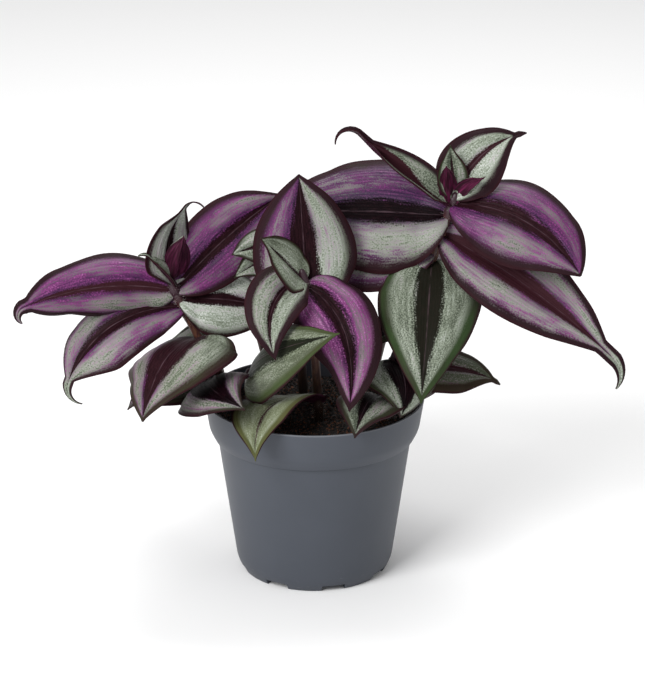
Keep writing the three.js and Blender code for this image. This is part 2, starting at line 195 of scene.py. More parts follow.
def grained(tree, along_mm, true_mm, parallel_mm, detail):
    """A pattern with grains so many millimetres long and wide on the leaf. A size of 0 leaves one out."""
    grain = add(tree, "ShaderNodeAttribute", attribute_name="grain").outputs["Vector"]
    sizes = [1 / size if size else 0.0 for size in (along_mm, true_mm, parallel_mm)]
    stretched = add(tree, "ShaderNodeVectorMath", {0: grain, 1: sizes}, operation="MULTIPLY")
    return add(tree, "ShaderNodeTexNoise",
               {"Vector": stretched, "Scale": 1.0, "Detail": detail, "Roughness": GRAIN_ROUGHNESS})


def leaf_top_material():
    """Leaf skin: bands laid out on the leaf's own map, with borders, flecks and tones from four patterns."""
    material, tree, shader = new_material("tradescantia_leaf_skin")
    math_node, ramp, mix = "ShaderNodeMath", "ShaderNodeMapRange", "ShaderNodeMix"

    across = map_parts(tree, "place")["Y"]
    middle_reach, margin_from, green = map_parts(tree, "bands")
    left_violet, right_violet, deep = map_parts(tree, "violet")
    light, warm, brown = map_parts(tree, "tone")
    out = add(tree, math_node, {0: across}, operation="ABSOLUTE")

    streaks = grained(tree, STREAK_LENGTH_MM, 0, STREAK_WIDTH_MM, 3.0)
    hairlines = grained(tree, STREAK_LENGTH_MM / 2, 0, HAIRLINE_WIDTH_MM, 1.0)
    flecks = grained(tree, FLECK_MM, FLECK_MM, 0, 2.0)
    clouds = grained(tree, CLOUD_LENGTH_MM, 0, CLOUD_WIDTH_MM, 2.0)

    # Where a point lies between midrib and edge, shifted by the patterns, so that every border is ragged.
    shift = -0.26
    for pattern, share in ((streaks, 0.2), (flecks, 0.2), (clouds, 0.12)):
        shift = add(tree, math_node, {0: pattern, 1: share, 2: shift}, operation="MULTIPLY_ADD")
    place_out = add(tree, math_node, {0: out, 1: shift}, operation="ADD")
    from_middle = add(tree, math_node, {0: place_out, 1: middle_reach}, operation="SUBTRACT")
    in_middle = add(tree, ramp, {"Value": from_middle, "From Min": BORDER, "From Max": -BORDER},
                    interpolation_type="SMOOTHSTEP")
    past_margin = add(tree, math_node, {0: place_out, 1: margin_from}, operation="SUBTRACT")
    in_margin = add(tree, ramp, {"Value": past_margin, "From Min": -MARGIN_BORDER, "From Max": MARGIN_BORDER},
                    interpolation_type="SMOOTHSTEP")

    # How violet the silver is: each half has its own amount, with more beside the borders.
    right_half = add(tree, ramp, {"Value": across, "From Min": -HALVES_BORDER, "From Max": HALVES_BORDER})
    amount = add(tree, mix, {0: right_half, 2: left_violet, 3: right_violet}, data_type="FLOAT")
    by_middle = add(tree, ramp, {"Value": from_middle, "From Min": MIDDLE_FRINGE, "From Max": 0.0})
    by_margin = add(tree, ramp,
                    {"Value": past_margin, "From Min": -MARGIN_FRINGE, "From Max": 0.0, "To Max": 0.8})
    fringe = add(tree, math_node, {0: by_middle, 1: by_margin}, operation="MAXIMUM")
    fringe_amount = add(tree, ramp, {"Value": amount, "From Min": 0.0, "From Max": 0.3, "To Max": 0.3})
    level = add(tree, math_node, {0: fringe, 1: fringe_amount, 2: amount}, operation="MULTIPLY_ADD")
    for pattern, share in ((clouds, 1.5), (streaks, 1.1), (flecks, 1.2)):
        level = add(tree, math_node, {0: pattern, 1: share, 2: level}, operation="MULTIPLY_ADD")
    is_violet = add(tree, ramp, {"Value": level, "From Min": VIOLET_FROM, "From Max": VIOLET_FULL})

    # The silver itself: glints and dull spots, yellower where the leaf is warm, lilac where nearly violet.
    sparkle = -1.95
    for pattern, share in ((flecks, 1.7), (clouds, 1.0), (streaks, 1.0)):
        sparkle = add(tree, math_node, {0: pattern, 1: share, 2: sparkle}, operation="MULTIPLY_ADD")
    # Each leaf's light lifts or lowers its silver: partly the leaf's own tone, partly painted shade on leaves
    # that lie in shade.
    sparkle = add(tree, math_node, {0: sparkle, 1: light}, operation="ADD")
    silver = add(tree, "ShaderNodeValToRGB", {"Fac": sparkle})
    silver.color_ramp.elements[0].color = linear(SILVER_DARK)
    silver.color_ramp.elements[1].color = linear(SILVER_GLINT)
    silver.color_ramp.elements.new(0.35).color = linear(SILVER)
    silver.color_ramp.elements.new(0.7).color = linear(SILVER_PALE)
    silver = add(tree, mix, {0: warm, 6: silver, 7: linear(SILVER_WARM)}, data_type="RGBA")
    blush = add(tree, ramp, {"Value": level, "From Min": BLUSH_FROM, "From Max": BLUSH_FULL, "To Max": 0.45})
    silver = add(tree, mix, {0: blush, 6: silver, 7: linear(LILAC)}, data_type="RGBA")

    # The violet pigment: pale where it is thin, and nearly black where it is deep.
    depth = 1.75
    for pattern, share in ((streaks, -1.4), (by_middle, 0.3), (flecks, -1.3)):
        depth = add(tree, math_node, {0: pattern, 1: share, 2: depth}, operation="MULTIPLY_ADD")
    depth = add(tree, math_node, {0: depth, 1: deep}, operation="ADD")
    pigment = add(tree, "ShaderNodeValToRGB", {"Fac": depth})
    pigment.color_ramp.elements[0].color = linear(VIOLET_PALE)
    pigment.color_ramp.elements[1].color = linear(VIOLET_DEEP)
    pigment.color_ramp.elements.new(0.22).color = linear(ORCHID)
    pigment.color_ramp.elements.new(0.55).color = linear(VIOLET)
    colour = add(tree, mix, {0: is_violet, 6: silver, 7: pigment}, data_type="RGBA")

    # The dark middle band: maroon with a darker grain, or green in the deepest shade.
    dusk = -1.0
    for pattern, share in ((hairlines, 1.2), (flecks, 0.8)):
        dusk = add(tree, math_node, {0: pattern, 1: share, 2: dusk}, operation="MULTIPLY_ADD")
    dusk = add(tree, math_node, {0: dusk, 1: brown}, operation="ADD", use_clamp=True)
    middle_colour = add(tree, mix, {0: dusk, 6: linear(MAROON_DARK), 7: linear(MAROON)}, data_type="RGBA")
    very_green = add(tree, ramp,
                     {"Value": green, "From Min": GREEN_MIDDLE_FROM, "From Max": GREEN_MIDDLE_FULL})
    middle_colour = add(tree, mix, {0: very_green, 6: middle_colour, 7: linear(MIDDLE_GREEN)},
                        data_type="RGBA")
    colour = add(tree, mix, {0: in_middle, 6: colour, 7: middle_colour}, data_type="RGBA")

    # The margin, and the thin red line of the edge.
    greening = add(tree, math_node, {0: clouds, 1: 2.0, 2: -1.0}, operation="MULTIPLY_ADD")
    greening = add(tree, math_node, {0: greening, 1: green}, operation="ADD", use_clamp=True)
    margin_colour = add(tree, mix, {0: greening, 6: linear(MARGIN_MAROON), 7: linear(MARGIN_GREEN)},
                        data_type="RGBA")
    shaded = add(tree, math_node, {0: dusk, 1: 0.3}, operation="MULTIPLY")
    at_edge = add(tree, ramp, {"Value": out, "From Min": EDGE_FROM, "From Max": EDGE_FULL})
    for share, tint in ((shaded, MAROON_DARK), (warm, SILVER_WARM), (at_edge, EDGE_RED)):
        margin_colour = add(tree, mix, {0: share, 6: margin_colour, 7: linear(tint)}, data_type="RGBA")
    colour = add(tree, mix, {0: in_margin, 6: colour, 7: margin_colour}, data_type="RGBA")

    # A fine pale line along the midrib, broken where the streaks are dark.
    on_midrib = add(tree, ramp, {"Value": out, "From Min": MIDRIB_UNTIL, "From Max": MIDRIB_FULL})
    broken = add(tree, ramp, {"Value": streaks, "From Min": 0.4, "From Max": 0.6, "To Max": 0.5})
    on_midrib = add(tree, math_node, {0: on_midrib, 1: broken}, operation="MULTIPLY")
    colour = add(tree, mix, {0: on_midrib, 6: colour, 7: linear(MIDRIB_LINE)}, data_type="RGBA")

    # Fine parallel veins and the pebbled skin between them.
    parallel = map_parts(tree, "grain")["Z"]
    veins = add(tree, math_node, {0: parallel, 1: 2 * math.pi / VEIN_SPACING_MM}, operation="MULTIPLY")
    veins = add(tree, math_node, {0: veins}, operation="SINE")
    height = 0.0
    for pattern, share in ((flecks, 1.2), (veins, 0.35), (hairlines, 0.8)):
        height = add(tree, math_node, {0: pattern, 1: share, 2: height}, operation="MULTIPLY_ADD")
    rough = add(tree, ramp, {"Value": flecks, "From Min": 0.3, "From Max": 0.7,
                             "To Min": ROUGHEST, "To Max": SMOOTHEST})
    dark = add(tree, math_node, {0: in_middle, 1: in_margin}, operation="MAXIMUM")
    shine = add(tree, ramp, {"Value": dark, "To Min": SILVER_SHINE, "To Max": DARK_SHINE})
    relief = add(tree, "ShaderNodeBump",
                 {"Height": height, "Strength": 0.35, "Distance": SKIN_RELIEF_MM * MM})
    fill(tree, shader, {"Base Color": colour, "Normal": relief,
                        "Roughness": rough, "Specular IOR Level": shine})
    return material


LEAF_TOP = leaf_top_material()
print(LEAF_TOP.name, "has", len(LEAF_TOP.node_tree.nodes), "nodes")

# %% [markdown]
# The underside has no air under its skin, so it is one plain wine red, a little paler along the veins, and
# smoother than the upper side. Stems are the same flesh: brownish maroon, striped lengthwise, greener
# below, where they are also darkened almost to black as painted shade under the leaves.

# %% Leaf underside and stem
UNDERSIDE = "#2c0e1c"
UNDERSIDE_VEIN = "#482036"
SHEATH_PINK = "#671f45"
STEM_MAROON = "#3c1c20"
STEM_BROWN = "#63402f"
STEM_GREEN_AND_SHADE = "#17150e"
STEM_STRIPE_MM = 0.5
STEM_STRIPE_LENGTH_MM = 12
UNDERSIDE_ROUGHNESS = 0.42
STEM_ROUGHNESS = 0.45


def underside_material():
    """Leaf underside: plain wine red, with paler veins, and magenta where a young sheath is flushed."""
    material, tree, shader = new_material("tradescantia_leaf_underside")
    hairlines = grained(tree, STREAK_LENGTH_MM, 0, HAIRLINE_WIDTH_MM * 2, 2.0)
    flecks = grained(tree, FLECK_MM, FLECK_MM, 0, 1.0)
    vein = add(tree, "ShaderNodeMapRange", {"Value": hairlines, "From Min": 0.45, "From Max": 0.75})
    colour = add(tree, "ShaderNodeMix", {0: vein, 6: linear(UNDERSIDE), 7: linear(UNDERSIDE_VEIN)},
                 data_type="RGBA")
    flush = map_parts(tree, "place")["Z"]
    flush = add(tree, "ShaderNodeMath", {0: flush, 1: vein}, operation="MULTIPLY")
    colour = add(tree, "ShaderNodeMix", {0: flush, 6: colour, 7: linear(SHEATH_PINK)}, data_type="RGBA")
    height = add(tree, "ShaderNodeMath", {0: hairlines, 1: flecks}, operation="ADD")
    relief = add(tree, "ShaderNodeBump",
                 {"Height": height, "Strength": 0.25, "Distance": SKIN_RELIEF_MM * MM})
    fill(tree, shader, {"Base Color": colour, "Normal": relief,
                        "Roughness": UNDERSIDE_ROUGHNESS, "Specular IOR Level": LEAF_SHINE})
    return material


def stem_material():
    """Stem skin: striped lengthwise, dark green low down with painted shade there, and wine red where the bud
    begins.
    """
    material, tree, shader = new_material("tradescantia_stem_skin")
    along = map_parts(tree, "place")["X"]
    where = add(tree, "ShaderNodeTexCoord").outputs["Object"]
    sizes = [1 / (size * MM) for size in (STEM_STRIPE_MM, STEM_STRIPE_MM, STEM_STRIPE_LENGTH_MM)]
    stretched = add(tree, "ShaderNodeVectorMath", {0: where, 1: sizes}, operation="MULTIPLY")
    stripes = add(tree, "ShaderNodeTexNoise", {"Vector": stretched, "Scale": 1.0, "Detail": 2.0})
    striped = add(tree, "ShaderNodeMapRange", {"Value": stripes, "From Min": 0.35, "From Max": 0.65})
    # Low down the stem turns dark green and near black: partly its own green, partly painted shade under the
    # leaves.
    low = add(tree, "ShaderNodeMapRange", {"Value": along, "From Min": 0.6, "From Max": 0.2, "To Max": 0.85})
    high = add(tree, "ShaderNodeMapRange", {"Value": along, "From Min": 0.82, "From Max": 0.95})
    colour = linear(STEM_MAROON)
    for share, tint in ((striped, STEM_BROWN), (low, STEM_GREEN_AND_SHADE), (high, UNDERSIDE)):
        colour = add(tree, "ShaderNodeMix", {0: share, 6: colour, 7: linear(tint)}, data_type="RGBA")
    relief = add(tree, "ShaderNodeBump", {"Height": stripes, "Strength": 0.3, "Distance": 0.2 * MM})
    fill(tree, shader, {"Base Color": colour, "Normal": relief, "Roughness": STEM_ROUGHNESS})
    return material


LEAF_UNDER = underside_material()
STEM = stem_material()
print("materials:", LEAF_UNDER.name, STEM.name)

# %% [markdown]
# How the plant grows. Eight stems stand in the pot, each given by the four points of a curve in
# millimetres, with a furled bud at its end. A leaf says at which share of its stem it grows, where its tip
# is and how wide it is. The rest is its shape. In degrees, bow arches it, heading and sweep turn it
# sideways, roll tips it about its midrib, fold lifts its halves and camber curves them down again. Widest
# and blunt draw its outline. A tail is the thread or strap that some leaves end in: its length, half its
# width, and how far it hooks round. Flush makes an underside magenta. These are the shapes of the solids in
# the frame, so that each fine leaf grows where its solid is.

# %% Stems and leaves
USUAL_SHAPE = dict(bow=50, sweep=0, roll=0, fold=10, camber=50, widest=0.38, blunt=1.2, strap=1.3, hook=0,
                   flush=0)


def grown(at, tip, wide, **shape):
    """A leaf of the usual shape, apart from what is given."""
    return {**USUAL_SHAPE, "at": at, "tip": tip, "wide": wide, **shape}


GROWTH = {
    "shoot_a": dict(stem=[(-20, -4, 52), (-30, -6, 72), (-46, -8, 98), (-57, -8, 125)], bud=5, leaves=[
        grown(0.97, (-115.5, -24, 121), 32, bow=36, roll=75, camber=80, widest=0.35, blunt=0.8, tail=8,
              strap=2.8, hook=120, fold=0),
        grown(0.88, (-99, -19, 86), 32, bow=84, roll=35, camber=60, widest=0.6, tail=11, strap=2.6,
              hook=90),
        grown(0.97, (-13, 18, 155), 32, bow=18, roll=-50, fold=15, widest=0.55),
        grown(0.92, (-12, -1, 110), 31, bow=30, roll=-50),
        grown(1.0, (-51, -2, 157), 27, bow=-65, heading=150, roll=12, fold=18, camber=30, widest=0.3,
              tail=9, hook=-110),
        grown(0.98, (-66.5, -14, 139), 11, bow=20, roll=30, fold=40, camber=30, tail=4, hook=60),
        grown(0.48, (-76, -8, 71), 34, bow=70, roll=10, camber=40),
        grown(0.85, (-62, 46, 112), 32, bow=60),
        grown(1.0, (-51.5, -17, 148.5), 15, bow=-10, heading=-90, fold=50, camber=10, widest=0.35,
              flush=0.4),
        grown(0.7, (-67, -51, 83), 49, bow=100, roll=-12, fold=5, widest=0.32, blunt=1.1),
        grown(0.45, (-27, -52, 88.2), 34, bow=60, heading=-73, sweep=-120, roll=-28, fold=5),
    ]),
    "shoot_b": dict(stem=[(2, -10, 52), (2, -12, 80), (0, -18, 108), (-4, -22, 131)], bud=6, leaves=[
        grown(0.9, (-6, -14, 173), 44, bow=-30, heading=90, camber=60, widest=0.3, blunt=1),
        grown(1.0, (-15, -49, 108), 24, bow=100, heading=-150, sweep=-60, roll=40, fold=25, camber=40),
        grown(0.97, (14, -42, 84), 36, bow=95, heading=-55, sweep=52, roll=-30, camber=70, widest=0.25),
        grown(1.0, (-21, -34, 153), 22, bow=10, roll=55, fold=15, camber=30, widest=0.3),
        grown(0.27, (-23, -54, 67.5), 34, bow=90, heading=-113, sweep=-76, roll=-16, fold=15, camber=20,
              blunt=1.4),
    ]),
    "shoot_c": dict(stem=[(20, 4, 52), (36, 4, 90), (46, 2, 128), (56, -1, 159)], bud=3, leaves=[
        grown(0.92, (-16, 7, 150.5), 50, bow=10, roll=58, fold=12, camber=60, blunt=0.9),
        grown(0.76, (-4, 13, 139), 42, bow=6, roll=45, widest=0.6),
        grown(0.95, (17, 8, 183), 20, bow=-10, roll=30, fold=45, camber=0, widest=0.35, tail=12, strap=3,
              hook=125),
        grown(1.0, (82, 8, 183), 27, bow=65, roll=-46, fold=20, widest=0.36, tail=3, hook=10),
        grown(1.0, (54, -1, 181.2), 13, bow=-10, heading=90, fold=20, camber=20),
        grown(0.97, (105, -24, 134), 40, bow=70, roll=-42, camber=60, widest=0.45, blunt=0.9),
        grown(0.84, (119, -30, 101), 34, bow=20, roll=-45, fold=15, camber=40, tail=13, strap=3.4, hook=80),
        grown(0.72, (42, -44, 88), 44, bow=60, heading=-90, camber=60, widest=0.24),
        grown(0.5, (24, -6, 98), 22, bow=80, heading=-140, camber=40),
        grown(0.8, (62, 52, 136), 36, bow=60),
        grown(0.94, (52, -11, 175.5), 10, bow=20, heading=-90, fold=50, camber=10, flush=1),
        grown(0.94, (67.4, -11, 171), 11, bow=20, heading=-90, fold=50, camber=10, flush=1),
    ]),
    "shoot_d": dict(stem=[(-22, -13, 52), (-25, -11, 65), (-27, -9, 77), (-26, -10, 88)], bud=2, leaves=[
        grown(1.0, (10, -61, 123.4), 33, bow=18, sweep=-65, roll=-66, fold=-10, camber=40, widest=0.2),
    ]),
    "shoot_e": dict(stem=[(-4, 12, 52), (-5, 12, 90), (-8, 9, 115), (-9, 2, 137)], bud=4, leaves=[
        grown(1.0, (-33, -8, 137.5), 17, bow=40, roll=50, fold=20),
        grown(0.96, (-32, -10, 128.5), 14, bow=40, roll=50, fold=20),
        grown(0.6, (-44, 38, 98), 30, bow=70),
        grown(0.8, (-6, 52, 126), 32),
        grown(0.7, (10, 42, 92), 28, bow=70),
    ]),
    "shoot_f": dict(stem=[(20, 22, 52), (26, 26, 85), (34, 36, 108), (42, 48, 122)], bud=6, leaves=[
        grown(0.95, (84, 56, 114), 36, bow=60, roll=-10),
        grown(0.9, (14, 94, 98), 34, bow=70),
        grown(1.0, (56, 92, 128), 26, bow=40, fold=15),
        grown(0.7, (64, 48, 84), 30, bow=70),
    ]),
    "shoot_g": dict(stem=[(-16, 22, 52), (-18, 26, 78), (-25, 37, 98), (-34, 48, 110)], bud=6, leaves=[
        grown(0.95, (-80, 62, 92), 34, bow=60, roll=10),
        grown(0.9, (-14, 92, 90), 34, bow=70),
        grown(1.0, (-54, 90, 114), 26, bow=40, fold=15),
        grown(0.68, (-68, 44, 70), 28, bow=70),
    ]),
    "shoot_h": dict(stem=[(26, -10, 52), (27, -10, 68), (28, -10, 84), (33, -10, 97)], bud=5, leaves=[
        grown(0.5, (16, -49, 75.2), 28, bow=90, roll=3, camber=40, widest=0.42),
        grown(0.9, (34, -31, 77), 39, bow=120, heading=-50, camber=60),
        grown(0.7, (74, -5, 82), 24, bow=60, roll=-30, camber=40, widest=0.55, tail=2, hook=10),
    ]),
}
print(len(GROWTH), "shoots with", sum(len(s["leaves"]) for s in GROWTH.values()), "leaves")

# %% [markdown]
# No two leaves are marked alike. For each leaf: how far the dark middle band reaches (mid) and where the
# dark margin begins (edge), as shares of the half width; how violet its left and right half are, seen from
# the base, with four numbers where that changes from the base to the tip of each half; how deep that violet
# is; how green the margin is; how light, how warm and how brown the rest is; and how much the dark middle
# band spreads towards the tip (dusky). How light a leaf is mixes its own tone with painted light and shade:
# leaves that lie in shade are given a low light, which paints their silver darker.

# %% The markings of each leaf
# light is partly painted shade: it is set low on leaves that lie in shade.
PLAIN = dict(mid=0.2, edge=0.78, violet=(0.3, 0.3), deep=0.1, green=0.2, light=0.5, warm=0.0, brown=0.4,
             dusky=0.0)
MARKINGS = {
    "shoot_a": [
        dict(mid=0.15, edge=0.75, violet=(0.2, 0.7, 0.7, 0.75), green=-0.4, brown=1.0),
        dict(mid=0.22, edge=0.84, violet=(0.6, 0.15, 0.35, 0.35), deep=0.15, green=-0.2),
        dict(edge=0.8, violet=(0.8, 0.45, 0.5, 0.8), deep=0.15, green=-0.3),
        dict(edge=0.84, violet=(-0.1, 0.2, 0.0, 0.3), light=0.8),
        dict(mid=0.17, edge=0.8, violet=(0.2, 0.05, 0.3, 0.1), deep=0.3, green=-0.4, light=0.8),
        dict(mid=0.12, violet=(0.0, 0.0), green=0.5),
        dict(mid=0.3, violet=(0.0, 0.1), light=0.1, brown=0.1),
        dict(violet=(0.5, 0.3)),
        dict(mid=1.0, edge=1.2, violet=(0.0, 0.0), brown=0.6),
        dict(mid=0.36, edge=0.8, violet=(-0.2, 0.3, 0.2, 0.35), green=0.1, light=0.4, warm=0.05, brown=0.5),
        dict(mid=0.5, edge=0.84, violet=(0.25, 0.2), light=0.4, brown=0.0),
    ],
    "shoot_b": [
        dict(mid=0.27, edge=0.77, violet=(0.1, 1.0, -0.1, 0.3), deep=0.2, light=0.65, green=-0.2,
             brown=0.3),
        dict(mid=0.14, edge=0.7, violet=(0.0, 0.1), green=-0.1),
        dict(edge=0.7, violet=(0.75, 0.25, 0.85, 0.5), deep=-0.1, green=-0.4, brown=0.3),
        dict(mid=0.08, edge=0.84, violet=(-0.2, -0.2), light=0.45, warm=0.05),
        dict(mid=0.05, edge=0.76, violet=(-0.2, -0.2), warm=0.4, brown=1.0),
    ],
    "shoot_c": [
        dict(edge=0.8, violet=(0.24, 0.3, 0.95, 0.45), deep=0.35, light=0.62, green=-0.1, brown=0.0),
        dict(edge=0.82, violet=(0.35, 0.35), deep=0.3, green=-0.4, brown=0.1),
        dict(mid=0.14, violet=(-0.2, -0.1), green=-0.3, light=0.3, brown=1.1, dusky=1.0),
        dict(mid=0.15, edge=0.66, violet=(0.0, 0.1, -0.1, 0.0), light=0.65, green=-0.5, brown=0.9),
        dict(mid=0.14, edge=0.8, violet=(-0.1, -0.1), green=0.4, light=0.3),
        dict(violet=(0.5, 0.75, 0.7, 0.35), deep=0.15, green=-0.4, brown=0.5),
        dict(mid=0.26, violet=(0.35, 0.25, 0.4, 0.25), light=0.6, green=-0.2, brown=1.2),
        dict(mid=0.28, edge=0.76, violet=(-0.2, -0.1), green=0.7, light=0.4, brown=0.2),
        dict(mid=0.5, edge=0.6, violet=(0.0, 0.0), light=0.1, brown=0.1),
        dict(violet=(0.7, 0.4)),
        dict(mid=1.0, edge=1.2, violet=(0.0, 0.0), brown=0.8),
        dict(mid=1.0, edge=1.2, violet=(0.0, 0.0), brown=0.8),
    ],
    "shoot_d": [
        dict(mid=0.3, violet=(-0.2, -0.2), green=0.8, light=0.2, warm=0.12, brown=0.2),
    ],
    "shoot_e": [
        dict(mid=0.12, edge=0.84, violet=(0.0, 0.0), green=0.3),
        dict(mid=0.12, edge=0.84, violet=(0.0, 0.0), green=0.3),
        dict(violet=(0.4, 0.5)),
        dict(violet=(0.7, 0.6), deep=0.2),
        dict(violet=(0.3, 0.5)),
    ],
    "shoot_f": [
        dict(violet=(0.6, 0.45), deep=0.2),
        dict(violet=(0.35, 0.5)),
        dict(violet=(0.2, 0.1), light=0.6),
        dict(violet=(0.2, 0.15), green=0.5),
    ],
    "shoot_g": [
        dict(violet=(0.4, 0.6)),
        dict(violet=(0.5, 0.3)),
        dict(violet=(0.1, 0.2), light=0.6),
        dict(violet=(0.1, 0.1), green=0.6),
    ],
    "shoot_h": [
        dict(mid=0.24, edge=0.76, violet=(0.0, -0.1), green=0.1, light=0.3, brown=0.1),
        dict(mid=0.38, edge=0.8, violet=(-0.1, 0.0), brown=0.05),
        dict(edge=0.66, violet=(0.0, 0.1), green=-0.4, light=0.1, warm=0.08, brown=1.0),
    ],
}
print("leaves with markings of their own:", sum(len(marks) for marks in MARKINGS.values()))

# %% [markdown]
# A leaf is a sheet that follows its midrib. The midrib is an arc from the stem to the tip; at every step
# along it the sheet is as wide as the leaf's outline says, folded up a little from the midrib and cambered
# down again towards its edges. Numpy works the whole grid out at once, and keeps the maps that the skin
# reads.

# %% The shape of a leaf
BASE_SHARE = 0.22
CLASP_FOLD = 25
CLASP_UNTIL = 0.15
TIP_FOLD = 25
TIP_FROM = 0.7
TIP_HALF_WIDTH = 0.25
UNFOLDED_BELOW_MM = 3
MIDRIB_STEPS = 60
TAIL_STEPS = 8
ROWS = 46
TAIL_ROWS = 8
COLUMNS = 24
LOOK_AHEAD = 0.02


def unit(vectors):
    return vectors / np.linalg.norm(vectors, axis=-1, keepdims=True)


def bezier(points, t):
    """Points at the shares t of a cubic curve."""
    p = np.array(points, float)
    t = np.atleast_1d(t)[:, None]
    return (1 - t) ** 3 * p[0] + 3 * t * (1 - t) ** 2 * p[1] + 3 * t ** 2 * (1 - t) * p[2] + t ** 3 * p[3]


def outline(u, leaf):
    """Half width of a leaf as a share of its widest, from a rounded base to a drawn-out or blunt tip."""
    widest = leaf["widest"]
    before = (widest - u) / widest
    after = np.clip((u - widest) / (1 - widest), 0, 1)
    swelling = np.sqrt(np.maximum(0, 1 - (1 - BASE_SHARE ** 2) * before * before))
    return np.where(u < widest, swelling, (1 - after * after) ** leaf["blunt"])


def end_half_width(leaf):
    """Half the width in millimetres at which a blade ends, or passes into its tail."""
    return leaf["strap"] if "tail" in leaf else TIP_HALF_WIDTH


def midrib(base, leaf):
    """The midrib's points, how far along each is, and the heading, sweep and length that it grew with."""
    tip = np.array(leaf["tip"], float)
    chord = tip - base
    heading = math.radians(leaf["heading"]) if "heading" in leaf else math.atan2(chord[1], chord[0])
    pitch = math.atan2(chord[2], chord[0] * math.cos(heading) + chord[1] * math.sin(heading))
    bow, sweep = math.radians(leaf["bow"]), math.radians(leaf["sweep"])
    length = np.linalg.norm(chord) / (math.sin(bow / 2) / (bow / 2) if bow else 1)
    middle = (np.arange(MIDRIB_STEPS) + 0.5) / MIDRIB_STEPS
    a = pitch + bow * (0.5 - middle)
    h = heading + sweep * (0.5 - middle)
    steps = np.stack([np.cos(a) * np.cos(h), np.cos(a) * np.sin(h), np.sin(a)], 1) * length / MIDRIB_STEPS
    points = np.vstack([base, base + np.cumsum(steps, 0)])
    places = np.arange(MIDRIB_STEPS + 1) / MIDRIB_STEPS
    points += (tip - points[-1]) * places[:, None]
    if "tail" in leaf:
        points, places = with_tail(points, places, heading - sweep / 2, leaf, length)
    return points, places, heading, sweep, length


def with_tail(points, places, heading, leaf, length):
    """Adds the thin tail, which turns about the leaf's side."""
    step = unit(points[-1] - points[-2])
    side = np.array([math.sin(heading), -math.cos(heading), 0])
    turn = -math.radians(leaf["hook"]) / TAIL_STEPS
    for _ in range(TAIL_STEPS):
        step = (step * math.cos(turn) + np.cross(side, step) * math.sin(turn)
                + side * (side @ step) * (1 - math.cos(turn)))
        points = np.vstack([points, points[-1] + step * leaf["tail"] / TAIL_STEPS])
        places = np.append(places, places[-1] + leaf["tail"] / TAIL_STEPS / length)
    return points, places


def leaf_sheet(base, leaf):
    """The grid of a leaf's middle surface in millimetres, with its place and grain maps."""
    points, places, heading, sweep, length = midrib(base, leaf)
    end = places[-1]
    u = np.linspace(0, 1, ROWS)
    if "tail" in leaf:
        u = np.append(u, np.linspace(1, end, TAIL_ROWS + 1)[1:])
    on_line, ahead, behind = (
        np.stack([np.interp(shares, places, points[:, i]) for i in range(3)], 1)
        for shares in (u, np.minimum(end, u + LOOK_AHEAD), np.maximum(0, u - LOOK_AHEAD)))
    along = unit(ahead - behind)
    inside = np.minimum(u, 1)
    h = heading + sweep * (0.5 - inside)
    side = np.stack([np.sin(h), -np.cos(h), 0 * h], 1)
    side = unit(side - along * np.sum(side * along, 1, keepdims=True))
    up = np.cross(side, along)
    roll = math.radians(leaf["roll"])
    across = side * math.cos(roll) + up * math.sin(roll)
    normal = up * math.cos(roll) - side * math.sin(roll)

    tip_width = np.interp(u, [1, max(end, 1.001)], [end_half_width(leaf), TIP_HALF_WIDTH])
    width = np.maximum(leaf["wide"] / 2 * outline(inside, leaf), tip_width)
    easing = np.minimum(1, width / UNFOLDED_BELOW_MM)
    clasp = CLASP_FOLD * np.maximum(0, 1 - u / CLASP_UNTIL)
    pinch = TIP_FOLD * np.maximum(0, (inside - TIP_FROM) / (1 - TIP_FROM))
    fold = np.radians(leaf["fold"] + clasp + pinch) * easing
    camber = math.radians(leaf["camber"]) * easing
    v = np.linspace(-1, 1, COLUMNS + 1)
    flat = v * width[:, None]
    angle = fold[:, None] - camber[:, None] * np.abs(v) / 2
    grid = (on_line[:, None] + across[:, None] * (flat * np.cos(angle))[..., None]
            + normal[:, None] * (np.abs(flat) * np.sin(angle))[..., None])
    place = np.stack(np.broadcast_arrays(u[:, None], v, 0.0), -1)
    grain = np.stack(np.broadcast_arrays((u * length)[:, None], flat, v * leaf["wide"] / 2), -1)
    return grid, place, grain


sample_leaf = leaf_sheet(np.zeros(3), grown(0, (60, 0, 0), 30))[0]
print("a leaf is a grid of", sample_leaf.shape[0], "by", sample_leaf.shape[1], "points")

# %% [markdown]
# All the leaves of one shoot go into one mesh, with the maps and the markings stored on its points. Each
# leaf's grain starts somewhere else in the noise, so that no two leaves repeat each other's streaks.

# %% The leaves of a shoot as one sheet mesh
GRAIN_STEP_MM = 173.0
MIDDLE_AT_TIP = 0.45
DUSKY_RANGE = (0.25, 1.1)
TAIL_FADE = 0.5


def store(mesh, name, values):
    """Gives every point of a mesh its number, or its three numbers, under this name."""
    kind, field = ("FLOAT", "value") if values.ndim == 1 else ("FLOAT_VECTOR", "vector")
    mesh.attributes.new(name, kind, "POINT").data.foreach_set(field, values.ravel())


def markings_along(leaf, u, mark):
    """The marking attributes for every row of a leaf."""
    half = np.maximum(outline(np.minimum(u, 1), leaf), end_half_width(leaf) * 2 / leaf["wide"])
    middle = mark["mid"] * np.interp(u, [0.5, 1.0], [1.0, MIDDLE_AT_TIP])
    middle += mark["dusky"] * np.interp(u, DUSKY_RANGE, [0, 1])
    margin = (1 - mark["edge"]) * np.where(u > leaf["widest"], half ** -0.5, 1)
    violet = mark["violet"] if len(mark["violet"]) == 4 else np.repeat(mark["violet"], 2)
    fade = np.interp(u, [0.95, 1.05], [0, TAIL_FADE])
    left, right = (np.interp(u, [0, 1], violet[i:i + 2]) - fade for i in (0, 2))
    same = np.ones(len(u))
    return {
        "bands": np.stack([middle, 1 - margin, same * mark["green"]], 1),
        "violet": np.stack([left, right, same * mark["deep"]], 1),
        "tone": np.outer(same, (mark["light"], mark["warm"], mark["brown"])),
    }


